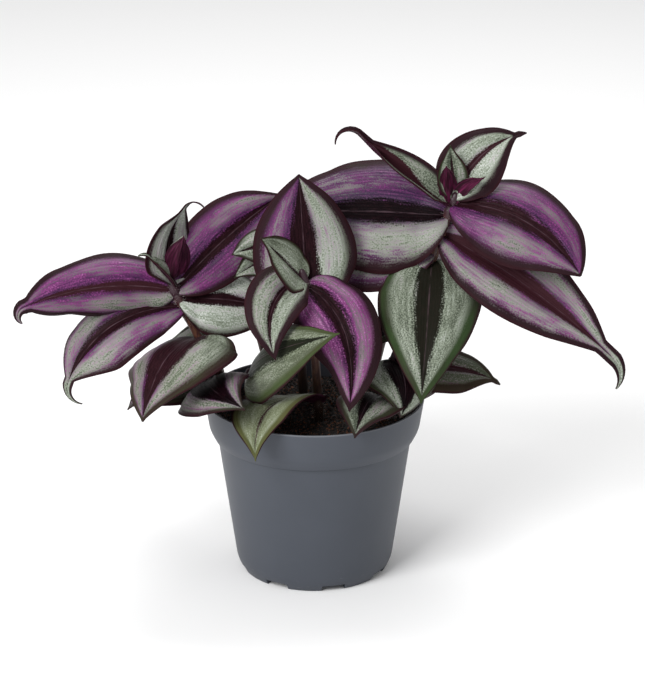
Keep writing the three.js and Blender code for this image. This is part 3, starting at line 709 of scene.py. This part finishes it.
def sheets_mesh(name, shoot, marks, first):
    """One mesh with the sheets of all the leaves of a shoot, the first of which has this number."""
    vertices, faces, maps = [], [], {k: [] for k in ("place", "grain", "bands", "violet", "tone")}
    for number, (leaf, mark) in enumerate(zip(shoot["leaves"], marks), first):
        grid, place, grain = leaf_sheet(bezier(shoot["stem"], leaf["at"])[0], leaf)
        rows, cols = grid.shape[:2]
        start = sum(len(part) for part in vertices)
        corner = start + np.arange(rows * cols).reshape(rows, cols)
        squares = np.stack([corner[:-1, :-1], corner[:-1, 1:], corner[1:, 1:], corner[1:, :-1]], -1)
        faces.append(squares.reshape(-1, 4))
        vertices.append(grid.reshape(-1, 3) * MM)
        place[..., 2] = leaf["flush"]
        grain[..., 0] += number * GRAIN_STEP_MM
        maps["place"].append(place.reshape(-1, 3))
        maps["grain"].append(grain.reshape(-1, 3))
        for key, values in markings_along(leaf, place[:, 0, 0], {**PLAIN, **mark}).items():
            maps[key].append(np.repeat(values, cols, 0))
    mesh = bpy.data.meshes.new(name)
    mesh.from_pydata(np.vstack(vertices).tolist(), [], np.vstack(faces).tolist())
    for key, parts in maps.items():
        store(mesh, key, np.vstack(parts))
    return mesh


example = sheets_mesh("example", GROWTH["shoot_d"], MARKINGS["shoot_d"], 0)
print("the sheet of shoot_d has", len(example.vertices), "points")
bpy.data.meshes.remove(example)

# %% [markdown]
# A blade is more than a sheet. A node tree gives it relief: soft pleats between the veins, a groove along
# the midrib and a slow wave along the edge. It then makes the sheet a closed skin: one copy is pushed out
# by the blade's thickness and becomes the upper side, the other is turned over and becomes the underside,
# and the two are merged along the edge.

# %% The blade tree
MERGED_WITHIN_MM = 0.001
SHARP_EDGE = math.radians(50)


def new_tree(name, inputs):
    """A geometry tree with a geometry input and named inputs, its input node and its output node."""
    tree = bpy.data.node_groups.new(name, "GeometryNodeTree")
    tree.interface.new_socket("Geometry", in_out="INPUT", socket_type="NodeSocketGeometry")
    for label, kind, value in inputs:
        socket = tree.interface.new_socket(label, in_out="INPUT", socket_type=kind)
        if value is not None:
            socket.default_value = value
    tree.interface.new_socket("Geometry", in_out="OUTPUT", socket_type="NodeSocketGeometry")
    return tree, add(tree, "NodeGroupInput"), add(tree, "NodeGroupOutput")


def evaluated_mesh(carrier, name):
    """A plain mesh of what an object's modifiers make of it."""
    made = bpy.data.meshes.new_from_object(carrier.evaluated_get(bpy.context.evaluated_depsgraph_get()))
    made.name = name
    return made


def baked(name, mesh, tree, values):
    """The mesh after the tree, with these named inputs, as a plain object at the origin."""
    carrier = placed(name + "_carrier", mesh)
    modifier = carrier.modifiers.new("shape", "NODES")
    modifier.node_group = tree
    for socket in tree.interface.items_tree:
        if socket.in_out == "INPUT" and socket.name in values:
            modifier[socket.identifier] = values[socket.name]
    made = evaluated_mesh(carrier, name)
    bpy.data.objects.remove(carrier)
    return placed(name, made)


def finished(tree, geometry, given, result):
    """Ends a tree: instances made real, and all of it painted with the skin that was given."""
    solid = add(tree, "GeometryNodeRealizeInstances", {"Geometry": geometry})
    painted = add(tree, "GeometryNodeSetMaterial", {"Geometry": solid, "Material": given.outputs["Skin"]})
    fill(tree, result, {0: painted})
    return tree


def blade_tree():
    tree, given, result = new_tree("leaf_blade", [
        ("Thickness", "NodeSocketFloat", 0.45 * MM),
        ("Pleat depth", "NodeSocketFloat", 0.16 * MM),
        ("Pleat spacing", "NodeSocketFloat", 3.4),
        ("Midrib groove", "NodeSocketFloat", 0.7 * MM),
        ("Edge wave", "NodeSocketFloat", 0.3 * MM),
        ("Edge wave length", "NodeSocketFloat", 24.0),
        ("Upper skin", "NodeSocketMaterial", None),
        ("Lower skin", "NodeSocketMaterial", None),
    ])
    math_node, ramp, size = "ShaderNodeMath", "ShaderNodeMapRange", given.outputs
    place = add(tree, "GeometryNodeInputNamedAttribute", {"Name": "place"}, data_type="FLOAT_VECTOR")
    along, across, _ = add(tree, "ShaderNodeSeparateXYZ", {0: place}).outputs
    grain = add(tree, "GeometryNodeInputNamedAttribute", {"Name": "grain"}, data_type="FLOAT_VECTOR")
    along_mm, _, parallel_mm = add(tree, "ShaderNodeSeparateXYZ", {0: grain}).outputs
    out = add(tree, math_node, {0: across}, operation="ABSOLUTE")

    # The relief fades out towards the base and the tip.
    opening = add(tree, ramp, {"Value": along, "From Min": 0.04, "From Max": 0.2})
    closing = add(tree, ramp, {"Value": along, "From Min": 0.98, "From Max": 0.8})
    fade = add(tree, math_node, {0: opening, 1: closing}, operation="MULTIPLY")

    turns = add(tree, math_node, {0: parallel_mm, 1: size["Pleat spacing"]}, operation="DIVIDE")
    turns = add(tree, math_node, {0: turns, 1: 2 * math.pi}, operation="MULTIPLY")
    pleats = add(tree, math_node, {0: turns}, operation="COSINE")
    pleats = add(tree, math_node, {0: pleats, 1: size["Pleat depth"]}, operation="MULTIPLY")
    groove = add(tree, ramp, {"Value": out, "From Min": 0.3, "From Max": 0.0},
                 interpolation_type="SMOOTHSTEP")
    groove = add(tree, math_node, {0: groove, 1: size["Midrib groove"]}, operation="MULTIPLY")
    relief = add(tree, math_node, {0: pleats, 1: groove}, operation="SUBTRACT")

    waves = add(tree, math_node, {0: along_mm, 1: size["Edge wave length"]}, operation="DIVIDE")
    waves = add(tree, math_node, {0: waves, 1: 2 * math.pi, 2: across}, operation="MULTIPLY_ADD")
    waves = add(tree, math_node, {0: waves}, operation="SINE")
    near_edge = add(tree, math_node, {0: out, 1: 3.0}, operation="POWER")
    waves = add(tree, math_node, {0: waves, 1: near_edge}, operation="MULTIPLY")
    relief = add(tree, math_node, {0: waves, 1: size["Edge wave"], 2: relief}, operation="MULTIPLY_ADD")
    relief = add(tree, math_node, {0: relief, 1: fade}, operation="MULTIPLY")
    normal = add(tree, "GeometryNodeInputNormal")
    offset = add(tree, "ShaderNodeVectorMath", {0: normal, "Scale": relief}, operation="SCALE")
    shaped = add(tree, "GeometryNodeSetPosition", {"Geometry": given, "Offset": offset})

    upper = add(tree, "GeometryNodeExtrudeMesh",
                {"Mesh": shaped, "Offset Scale": size["Thickness"], "Individual": False})
    upper = add(tree, "GeometryNodeSetMaterial", {"Geometry": upper, "Material": size["Upper skin"]})
    lower = add(tree, "GeometryNodeFlipFaces", {"Mesh": shaped})
    lower = add(tree, "GeometryNodeSetMaterial", {"Geometry": lower, "Material": size["Lower skin"]})
    both = add(tree, "GeometryNodeJoinGeometry", {"Geometry": upper})
    fill(tree, both, {0: lower})
    closed = add(tree, "GeometryNodeMergeByDistance", {"Geometry": both, "Distance": MERGED_WITHIN_MM * MM})
    fill(tree, result, {0: add(tree, "GeometryNodeSetShadeSmooth", {"Geometry": closed})})
    return tree


BLADE = blade_tree()
leaves = {}
first = 0
for name, shoot in GROWTH.items():
    mesh = sheets_mesh(name + "_sheets", shoot, MARKINGS[name], first)
    first += len(shoot["leaves"])
    piece = baked("leaves_" + name[-1], mesh, BLADE, {"Upper skin": LEAF_TOP, "Lower skin": LEAF_UNDER})
    piece.data.set_sharp_from_angle(angle=SHARP_EDGE)
    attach(piece, "root")
    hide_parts(name)
    leaves[name] = piece
print("leaf faces:", sum(len(piece.data.polygons) for piece in leaves.values()))

# %% [markdown]
# A stem is a tube along a curve. It thickens at each node, where a leaf's sheath clasps it, and ends in a
# furled spindle of new leaves. The tube is a curve swept with a round profile, its girth read from the
# points.

# %% The stem tree
STEM_FOOT_RADIUS = 2.1
STEM_TOP_RADIUS = 1.5
SHEATH_MM = 7.0
SHEATH_SWELL = 0.33
MOST_SWELL = 0.55
HAIRY_SWELL = 0.1
STEM_STEPS = 90
BUD_RADIUS = 1.9
BUD_TIP_RADIUS = 0.1
BUD_TAPER = 1.8
BUD_STEPS = 12


def stem_line(name, shoot):
    """The stem's centre line as a mesh of edges, with its girth, its place and how hairy it is."""
    t = np.linspace(0, 1, STEM_STEPS)
    line = bezier(shoot["stem"], t)
    length = np.linalg.norm(np.diff(line, axis=0), axis=1).sum()
    plain = STEM_FOOT_RADIUS + (STEM_TOP_RADIUS - STEM_FOOT_RADIUS) * t
    radius = plain.copy()
    for leaf in shoot["leaves"]:
        below = (leaf["at"] - t) * length / SHEATH_MM
        held = np.where((below >= -0.15) & (below < 1), np.clip(1 - below, 0, 1) ** 2, 0)
        radius += SHEATH_SWELL * held
    radius = np.minimum(radius, STEM_FOOT_RADIUS + MOST_SWELL)
    sheathed = np.clip(radius - plain, 0, HAIRY_SWELL) / HAIRY_SWELL
    share = np.linspace(0, 1, BUD_STEPS + 1)[1:]
    line = np.vstack([line, line[-1] + unit(line[-1] - line[-2]) * (share * shoot["bud"])[:, None]])
    bud = BUD_RADIUS * np.sqrt(np.maximum(0, 1 - share ** BUD_TAPER)) + BUD_TIP_RADIUS
    mesh = bpy.data.meshes.new(name)
    mesh.from_pydata((line * MM).tolist(), [(i, i + 1) for i in range(len(line) - 1)], [])
    store(mesh, "girth", np.append(radius, bud) * MM)
    store(mesh, "place", np.outer(np.append(t, 1 + share), (1, 0, 0)))
    store(mesh, "hairiness", np.append(sheathed, np.zeros(BUD_STEPS)))
    return mesh


def stem_tree():
    tree, given, result = new_tree(
        "stem_tube", [("Sides", "NodeSocketInt", 14), ("Skin", "NodeSocketMaterial", None)])
    girth = add(tree, "GeometryNodeInputNamedAttribute", {"Name": "girth"}, data_type="FLOAT")
    curve = add(tree, "GeometryNodeMeshToCurve", {"Mesh": given})
    circle = add(tree, "GeometryNodeCurvePrimitiveCircle",
                 {"Resolution": given.outputs["Sides"], "Radius": 1.0})
    tube = add(tree, "GeometryNodeCurveToMesh",
               {"Curve": curve, "Profile Curve": circle, "Scale": girth, "Fill Caps": True})
    smooth = add(tree, "GeometryNodeSetShadeSmooth", {"Geometry": tube})
    return finished(tree, smooth, given, result)


STEM_TUBE = stem_tree()
stems = {}
for name, shoot in GROWTH.items():
    piece = baked("stem_" + name[-1], stem_line(name + "_line", shoot), STEM_TUBE, {"Skin": STEM})
    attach(piece, "root")
    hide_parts(name)
    stems[name] = piece
print("a stem has", len(piece.data.polygons), "faces")

# %% [markdown]
# The sheaths that clasp the stem carry fine pale hairs. Points strewn on the stem, dense only where a
# sheath thickens it, each get a three-sided spike that stands on the skin.

# %% The hairs on the sheaths
HAIR_MM = 1.5
HAIR_RADIUS_MM = 0.035
HAIRS_PER_MM2 = 0.9
HAIR_PALE = "#c9bfba"
SHORTEST_HAIR = 0.5
LONGEST_HAIR = 1.2
HAIR_ROUGHNESS = 0.6


def hair_material():
    """Leaf hairs: pale, almost colourless cell threads, a little see-through in life and drawn matt here."""
    material, tree, shader = new_material("tradescantia_sheath_hair")
    fill(tree, shader, {"Base Color": linear(HAIR_PALE), "Roughness": HAIR_ROUGHNESS})
    return material


def hair_tree():
    tree, given, result = new_tree("sheath_hairs", [
        ("Hair length", "NodeSocketFloat", HAIR_MM * MM),
        ("Hair radius", "NodeSocketFloat", HAIR_RADIUS_MM * MM),
        ("Hairs per m2", "NodeSocketFloat", HAIRS_PER_MM2 * 1e6),
        ("Seed", "NodeSocketInt", 7),
        ("Skin", "NodeSocketMaterial", None),
    ])
    size = given.outputs
    hairiness = add(tree, "GeometryNodeInputNamedAttribute", {"Name": "hairiness"}, data_type="FLOAT")
    density = add(tree, "ShaderNodeMath", {0: hairiness, 1: size["Hairs per m2"]}, operation="MULTIPLY")
    points = add(tree, "GeometryNodeDistributePointsOnFaces",
                 {"Mesh": given, "Density": density, "Seed": size["Seed"]})
    spike = add(tree, "GeometryNodeMeshCone",
                {"Vertices": 3, "Radius Top": 0.0, "Radius Bottom": size["Hair radius"],
                 "Depth": size["Hair length"]})
    tall = add(tree, "FunctionNodeRandomValue", {2: SHORTEST_HAIR, 3: LONGEST_HAIR, "Seed": 8},
               data_type="FLOAT")
    hairs = add(tree, "GeometryNodeInstanceOnPoints",
                {"Points": points, "Instance": spike, "Rotation": points.outputs["Rotation"], "Scale": tall})
    return finished(tree, hairs, given, result)


SHEATH_HAIRS = hair_tree()
HAIR = hair_material()
hair_count = 0
for name, stem in stems.items():
    piece = baked("hairs_" + name[-1], stem.data.copy(), SHEATH_HAIRS, {"Skin": HAIR})
    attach(piece, "root")
    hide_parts(name)
    hair_count += len(piece.data.polygons) // 4
print("hairs:", hair_count)

# %% [markdown]
# The pot is injection moulded from grey polypropylene: satin, with the faint orange peel of the mould,
# scuffed low down where it has been pushed over tables, and with a painted highlight along its lip.

# %% Pot plastic
POT_GREY = "#42464e"
POT_GREY_WORN = "#464a52"
# The scuffs' pale grey, also used for the painted highlight along the lip.
POT_SCUFF_AND_LIP_HIGHLIGHT = "#72757a"
POT_SHINE = 0.3
POT_ROUGHNESS = 0.48
POT_CLOUD_MM = 18
POT_PEEL_MM = 0.9
SCRATCH_MM = (3, 3, 0.7)
SCUFFED_BELOW = 12
# Above this height the lip gets a painted highlight, where the light catches the rim.
PAINTED_LIP_HIGHLIGHT_FROM = 73.9


def pot_material():
    """Injection moulded polypropylene: satin grey, with a faint orange peel, a few scuffs at the foot and a
    painted highlight on the lip.
    """
    material, tree, shader = new_material("grey_polypropylene")
    math_node, ramp, noise = "ShaderNodeMath", "ShaderNodeMapRange", "ShaderNodeTexNoise"
    where = add(tree, "ShaderNodeTexCoord").outputs["Object"]
    height = add(tree, "ShaderNodeSeparateXYZ", {0: where}).outputs["Z"]
    clouds = add(tree, noise, {"Vector": where, "Scale": 1 / (POT_CLOUD_MM * MM), "Detail": 3.0})
    worn = add(tree, ramp, {"Value": clouds, "From Min": 0.35, "From Max": 0.7, "To Max": 0.5})
    rates = [1 / (size * MM) for size in SCRATCH_MM]
    scratches = add(tree, "ShaderNodeVectorMath", {0: where, 1: rates}, operation="MULTIPLY")
    scratches = add(tree, noise, {"Vector": scratches, "Scale": 1.0, "Detail": 4.0})
    scratched = add(tree, ramp, {"Value": scratches, "From Min": 0.66, "From Max": 0.74, "To Max": 0.7})
    low = add(tree, ramp, {"Value": height, "From Min": SCUFFED_BELOW * MM, "From Max": 2 * MM})
    scuffs = add(tree, math_node, {0: scratched, 1: low}, operation="MULTIPLY")
    # The pale band at the top of the lip is a painted highlight where the light catches the rim.
    lip = add(tree, ramp,
              {"Value": height, "From Min": PAINTED_LIP_HIGHLIGHT_FROM * MM, "From Max": (PAINTED_LIP_HIGHLIGHT_FROM + 0.5) * MM, "To Max": 0.8})
    colour = linear(POT_GREY)
    for share, tint in ((worn, POT_GREY_WORN), (scuffs, POT_SCUFF_AND_LIP_HIGHLIGHT), (lip, POT_SCUFF_AND_LIP_HIGHLIGHT)):
        colour = add(tree, "ShaderNodeMix", {0: share, 6: colour, 7: linear(tint)}, data_type="RGBA")
    peel = add(tree, noise, {"Vector": where, "Scale": 1 / (POT_PEEL_MM * MM), "Detail": 2.0})
    relief = add(tree, "ShaderNodeBump", {"Height": peel, "Strength": 0.12, "Distance": 0.15 * MM})
    fill(tree, shader, {"Base Color": colour, "Normal": relief,
                        "Roughness": POT_ROUGHNESS, "Specular IOR Level": POT_SHINE})
    return material


POT_PLASTIC = pot_material()
print("pot material:", POT_PLASTIC.name)

# %% [markdown]
# The pot has a thin tapered wall, a wider band under the rim that gives it stiffness, a rounded lip, and a
# foot ring with notches that let water run out from under it. A profile turned about the pot's axis makes
# it, and boxes and cylinders cut the notches and the drain holes. Sizes are in millimetres.

# %% The pot
POT_HEIGHT = 74.5
RIM_RADIUS = 45.2
BAND_RADIUS = 43.2
BAND_BOTTOM = 58
WALL_TOP_RADIUS = 39.9
WALL_FOOT_RADIUS = 32.3
FOOT_RADIUS = 29.8
FOOT_WIDTH = 2.2
WALL = 1.1
FLOOR_UNDERSIDE = 2.4
FLOOR_TOP = 4
PAD_RADIUS = 12
NOTCHES = 8
NOTCH_WIDTH = 9.8
NOTCH_DEPTH = 7
NOTCH_TOP = 2.6
FIRST_NOTCH = math.radians(-75.3)
DRAIN_RADIUS = 3
DRAIN_CIRCLE = 20
DRAIN_SEGMENTS = 40
DRILL_LENGTH = 6
POT_SEGMENTS = 144
POT_SHARP_EDGE = math.radians(35)


def fillet(corner, before, after, radius, steps=4):
    """An arc that rounds a profile's corner between its two neighbours."""
    corner, before, after = (np.array(p, float) for p in (corner, before, after))
    start = corner + unit(before - corner) * radius
    end = corner + unit(after - corner) * radius
    k = np.linspace(0, 1, steps + 1)[:, None]
    return [tuple(p) for p in (1 - k) ** 2 * start + 2 * k * (1 - k) * corner + k ** 2 * end]


def pot_profile():
    """The pot's section as radius and height, from the middle of the underside round to that of the floor."""
    corners = [
        (0, 0, 0), (PAD_RADIUS, 0, 0.3), (PAD_RADIUS + 0.8, FLOOR_UNDERSIDE, 0.3),
        (FOOT_RADIUS - FOOT_WIDTH - 0.6, FLOOR_UNDERSIDE, 0.3), (FOOT_RADIUS - FOOT_WIDTH, 0, 0.3),
        (FOOT_RADIUS + 0.3, 0, 0.6), (WALL_FOOT_RADIUS, 4.4, 2.4),
        (WALL_TOP_RADIUS, BAND_BOTTOM, 0.1), (WALL_TOP_RADIUS + 1.3, BAND_BOTTOM, 0.25),
        (BAND_RADIUS, BAND_BOTTOM + 4, 1.6), (RIM_RADIUS, POT_HEIGHT, 0.45),
        (RIM_RADIUS - WALL, POT_HEIGHT, 0.45), (BAND_RADIUS - WALL, BAND_BOTTOM + 4.5, 1.2),
        (WALL_TOP_RADIUS + 0.6, BAND_BOTTOM + 2.2, 0.6), (WALL_TOP_RADIUS - WALL, BAND_BOTTOM + 0.6, 0.4),
        (WALL_FOOT_RADIUS - WALL, FLOOR_TOP, 0.8), (0, FLOOR_TOP, 0),
    ]
    profile = []
    for i, (r, z, rounding) in enumerate(corners):
        if rounding:
            profile += fillet((r, z), corners[i - 1][:2], corners[i + 1][:2], rounding)
        else:
            profile.append((r, z))
    return profile


def turned(name, profile, segments):
    """A closed mesh made by turning a profile, whose two ends lie on the axis, about the Z axis."""
    angles = np.arange(segments) * 2 * math.pi / segments
    ring = np.array(profile[1:-1])
    around = np.stack([np.cos(angles), np.sin(angles)], 1)
    points = np.concatenate([ring[:, None, :1] * around[None], np.repeat(ring[:, None, 1:], segments, 1)], 2)
    vertices = np.vstack([points.reshape(-1, 3), [[0, 0, profile[0][1]], [0, 0, profile[-1][1]]]]) * MM
    rings = len(ring)
    faces = []
    for s in range(segments):
        n = (s + 1) % segments
        faces += [(r * segments + s, r * segments + n, (r + 1) * segments + n, (r + 1) * segments + s)
                  for r in range(rings - 1)]
        faces.append((rings * segments, n, s))
        faces.append((rings * segments + 1, (rings - 1) * segments + s, (rings - 1) * segments + n))
    mesh = bpy.data.meshes.new(name)
    mesh.from_pydata(vertices.tolist(), [], faces)
    return mesh


def cutters():
    """One mesh of notch boxes and drain cylinders."""
    parts = []
    for i in range(NOTCHES):
        angle = FIRST_NOTCH + 2 * math.pi * i / NOTCHES
        bpy.ops.mesh.primitive_cube_add(size=MM, location=(
            FOOT_RADIUS * math.cos(angle) * MM, FOOT_RADIUS * math.sin(angle) * MM, (NOTCH_TOP - 1) / 2 * MM))
        notch = bpy.context.object
        notch.scale = (NOTCH_DEPTH, NOTCH_WIDTH, NOTCH_TOP + 1)
        notch.rotation_euler.z = angle
        angle += math.pi / NOTCHES
        bpy.ops.mesh.primitive_cylinder_add(
            vertices=DRAIN_SEGMENTS, radius=DRAIN_RADIUS * MM, depth=DRILL_LENGTH * MM, location=(
                DRAIN_CIRCLE * math.cos(angle) * MM, DRAIN_CIRCLE * math.sin(angle) * MM,
                (FLOOR_TOP - 1) * MM))
        parts += [notch, bpy.context.object]
    for part in parts:
        part.select_set(True)
    bpy.context.view_layer.objects.active = parts[0]
    bpy.ops.object.join()
    return bpy.context.object


pot = placed("nursery_pot", turned("nursery_pot", pot_profile(), POT_SEGMENTS))
tool = cutters()
cut = pot.modifiers.new("cut", "BOOLEAN")
cut.operation = "DIFFERENCE"
cut.solver = "EXACT"
cut.object = tool
pot.data = evaluated_mesh(pot, "nursery_pot")
pot.modifiers.clear()
bpy.data.objects.remove(tool)
pot.data.materials.clear()
pot.data.materials.append(POT_PLASTIC)
pot.data.polygons.foreach_set("material_index", [0] * len(pot.data.polygons))
pot.data.shade_smooth()
pot.data.set_sharp_from_angle(angle=POT_SHARP_EDGE)
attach(pot, "root")
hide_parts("pot")
print("the pot has", len(pot.data.polygons), "faces")

# %% [markdown]
# Potting soil is moist peat, almost black, with brown grains of bark in it.

# %% Peat
PEAT_DARK = "#0b0705"
PEAT = "#1d130c"
PEAT_GRAIN = "#6e4126"
PEAT_LUMP_MM = 2.2
PEAT_GRAIN_MM = 1.3
PEAT_ROUGHNESS = 0.8


def peat_material(name, brown_from):
    """Moist peat: almost black, with brown grains where the noise is above brown_from."""
    material, tree, shader = new_material(name)
    noise, ramp = "ShaderNodeTexNoise", "ShaderNodeMapRange"
    where = add(tree, "ShaderNodeTexCoord").outputs["Object"]
    lumps = add(tree, noise, {"Vector": where, "Scale": 1 / (PEAT_LUMP_MM * MM), "Detail": 5.0})
    lumpy = add(tree, ramp, {"Value": lumps, "From Min": 0.35, "From Max": 0.65})
    grains = add(tree, noise, {"Vector": where, "Scale": 1 / (PEAT_GRAIN_MM * MM), "Detail": 1.0})
    brown = add(tree, ramp,
                {"Value": grains, "From Min": brown_from, "From Max": brown_from + 0.08, "To Max": 0.8})
    colour = linear(PEAT_DARK)
    for share, tint in ((lumpy, PEAT), (brown, PEAT_GRAIN)):
        colour = add(tree, "ShaderNodeMix", {0: share, 6: colour, 7: linear(tint)}, data_type="RGBA")
    relief = add(tree, "ShaderNodeBump", {"Height": lumps, "Strength": 0.8, "Distance": 0.6 * MM})
    fill(tree, shader, {"Base Color": colour, "Normal": relief, "Roughness": PEAT_ROUGHNESS})
    return material


PEAT_PLUG = peat_material("moist_peat", 0.66)
PEAT_CRUMB = peat_material("peat_crumb", 0.56)
print("soil materials:", PEAT_PLUG.name, PEAT_CRUMB.name)

# %% [markdown]
# The soil is a plug that fills the pot and keeps just clear of its wall. Its top is domed, with slow waves,
# and every point of it is raised or lowered a little more at random, with a fixed seed.

# %% The soil
CLEAR = 0.35
SOIL_EDGE = 66.4
SOIL_MIDDLE = 68.2
SOIL_DOME_RADIUS = 42
SOIL_RING_STEP = 1.25
SOIL_WAVE = 0.5
SOIL_WAVE_RATES = (0.31, 0.27)
SOIL_GRIT = 0.35
SOIL_SEGMENTS = 96
rng = np.random.default_rng(7)
wall_foot = WALL_FOOT_RADIUS - WALL - 0.8 - CLEAR
soil_profile = [
    (0, FLOOR_TOP + CLEAR), (wall_foot, FLOOR_TOP + CLEAR),
    (WALL_TOP_RADIUS - WALL - CLEAR, BAND_BOTTOM + 0.6), (WALL_TOP_RADIUS + 0.1, BAND_BOTTOM + 2.6),
    (BAND_RADIUS - WALL - CLEAR - 0.1, BAND_BOTTOM + 5), (BAND_RADIUS - WALL + 0.1, SOIL_EDGE),
]
soil_rise = SOIL_MIDDLE - SOIL_EDGE
soil_profile += [(r, SOIL_MIDDLE - soil_rise * (r / SOIL_DOME_RADIUS) ** 2)
                 for r in np.arange(SOIL_DOME_RADIUS - 1, 0.5, -SOIL_RING_STEP)]
soil_profile.append((0, SOIL_MIDDLE))
soil_mesh = turned("potting_soil", soil_profile, SOIL_SEGMENTS)
for vertex in soil_mesh.vertices:
    x, y, z = vertex.co / MM
    if z > SOIL_EDGE - 0.1:
        wave_x, wave_y = SOIL_WAVE_RATES[0] * x + 1.2, SOIL_WAVE_RATES[1] * y - 0.4
        wave = SOIL_WAVE * math.sin(wave_x) * math.cos(wave_y)
        vertex.co.z += (wave + SOIL_GRIT * rng.uniform(-1, 1)) * MM
soil_mesh.materials.append(PEAT_PLUG)
soil = placed("potting_soil", soil_mesh)
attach(soil, "root")
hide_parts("soil")
print("the soil has", len(soil_mesh.polygons), "faces")

# %% [markdown]
# Loose crumbs are strewn over the soil by a node tree: points scattered on the faces that look upward, with
# a small rough stone shape on each, in random sizes and turns, again with fixed seeds.

# %% The crumb tree
CRUMB_MM = 0.75
CRUMBS_PER_CM2 = 75
UPWARD_FROM = 0.6
SMALLEST_CRUMB = (0.35, 0.35, 0.3)
LARGEST_CRUMB = (1.7, 1.2, 1.0)
FULL_TURN = (6.28, 6.28, 6.28)


def crumb_tree():
    tree, given, result = new_tree("soil_crumbs", [
        ("Crumb radius", "NodeSocketFloat", CRUMB_MM * MM),
        ("Crumbs per m2", "NodeSocketFloat", CRUMBS_PER_CM2 * 1e4),
        ("Seed", "NodeSocketInt", 4),
        ("Skin", "NodeSocketMaterial", None),
    ])
    size = given.outputs
    normal = add(tree, "GeometryNodeInputNormal")
    upward = add(tree, "ShaderNodeSeparateXYZ", {0: normal}).outputs["Z"]
    top = add(tree, "FunctionNodeCompare", {0: upward, 1: UPWARD_FROM}, operation="GREATER_THAN")
    points = add(tree, "GeometryNodeDistributePointsOnFaces",
                 {"Mesh": given, "Selection": top, "Density": size["Crumbs per m2"], "Seed": size["Seed"]})
    crumb = add(tree, "GeometryNodeMeshIcoSphere", {"Radius": size["Crumb radius"], "Subdivisions": 1})
    shape = add(tree, "FunctionNodeRandomValue", {0: SMALLEST_CRUMB, 1: LARGEST_CRUMB, "Seed": 3},
                data_type="FLOAT_VECTOR")
    turn = add(tree, "FunctionNodeRandomValue", {0: (0, 0, 0), 1: FULL_TURN, "Seed": 5},
               data_type="FLOAT_VECTOR")
    strewn = add(tree, "GeometryNodeInstanceOnPoints",
                 {"Points": points, "Instance": crumb, "Rotation": turn, "Scale": shape})
    return finished(tree, strewn, given, result)


crumbs = baked("soil_crumbs", soil_mesh.copy(), crumb_tree(), {"Skin": PEAT_CRUMB})
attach(crumbs, "root")
print("crumbs:", len(crumbs.data.polygons) // 20)

# %% [markdown]
# The plant stands on a pale, almost white table in soft studio light: a large softbox to the front left, a
# weaker one to the right that keeps the shadows open, one from above and behind for the leaf edges, and a
# bright room.

# %% Floor and light
FLOOR_WHITE = "#fafafa"
FLOOR_ROUGHNESS = 0.9
FLOOR_SIZE = 8.0
ROOM_WHITE = "#ffffff"
ROOM_STRENGTH = 0.54
LIGHTS = {
    "softbox_left": dict(place=(-0.7, -0.9, 0.9), size=0.7, power=17.5),
    "softbox_right": dict(place=(0.9, -0.6, 0.5), size=0.6, power=0.4),
    "softbox_above": dict(place=(0.1, 0.5, 1.1), size=0.6, power=6),
}


def area_light(name, place, size, power):
    """A square lamp that faces the plant, so many metres wide and watts strong."""
    light = bpy.data.lights.new(name, "AREA")
    light.shape = "SQUARE"
    light.size = size
    light.energy = power
    lamp = placed(name, light)
    lamp.location = place
    lamp.rotation_euler = facing(LOOKED_AT - Vector(place))


bpy.ops.mesh.primitive_plane_add(size=FLOOR_SIZE, location=(0, 0, 0))
floor = bpy.context.object
floor.name = "table"
floor_material, floor_tree, floor_shader = new_material("matt_white_card")
fill(floor_tree, floor_shader, {"Base Color": linear(FLOOR_WHITE), "Roughness": FLOOR_ROUGHNESS})
floor.data.materials.append(floor_material)

for name, settings in LIGHTS.items():
    area_light(name, **settings)
world = bpy.data.worlds.new("bright_room")
world.use_nodes = True
room = world.node_tree
fill(room, room.nodes["Background"], {"Color": linear(ROOM_WHITE), "Strength": ROOM_STRENGTH})
scene.world = world
scene.view_settings.view_transform = "Standard"
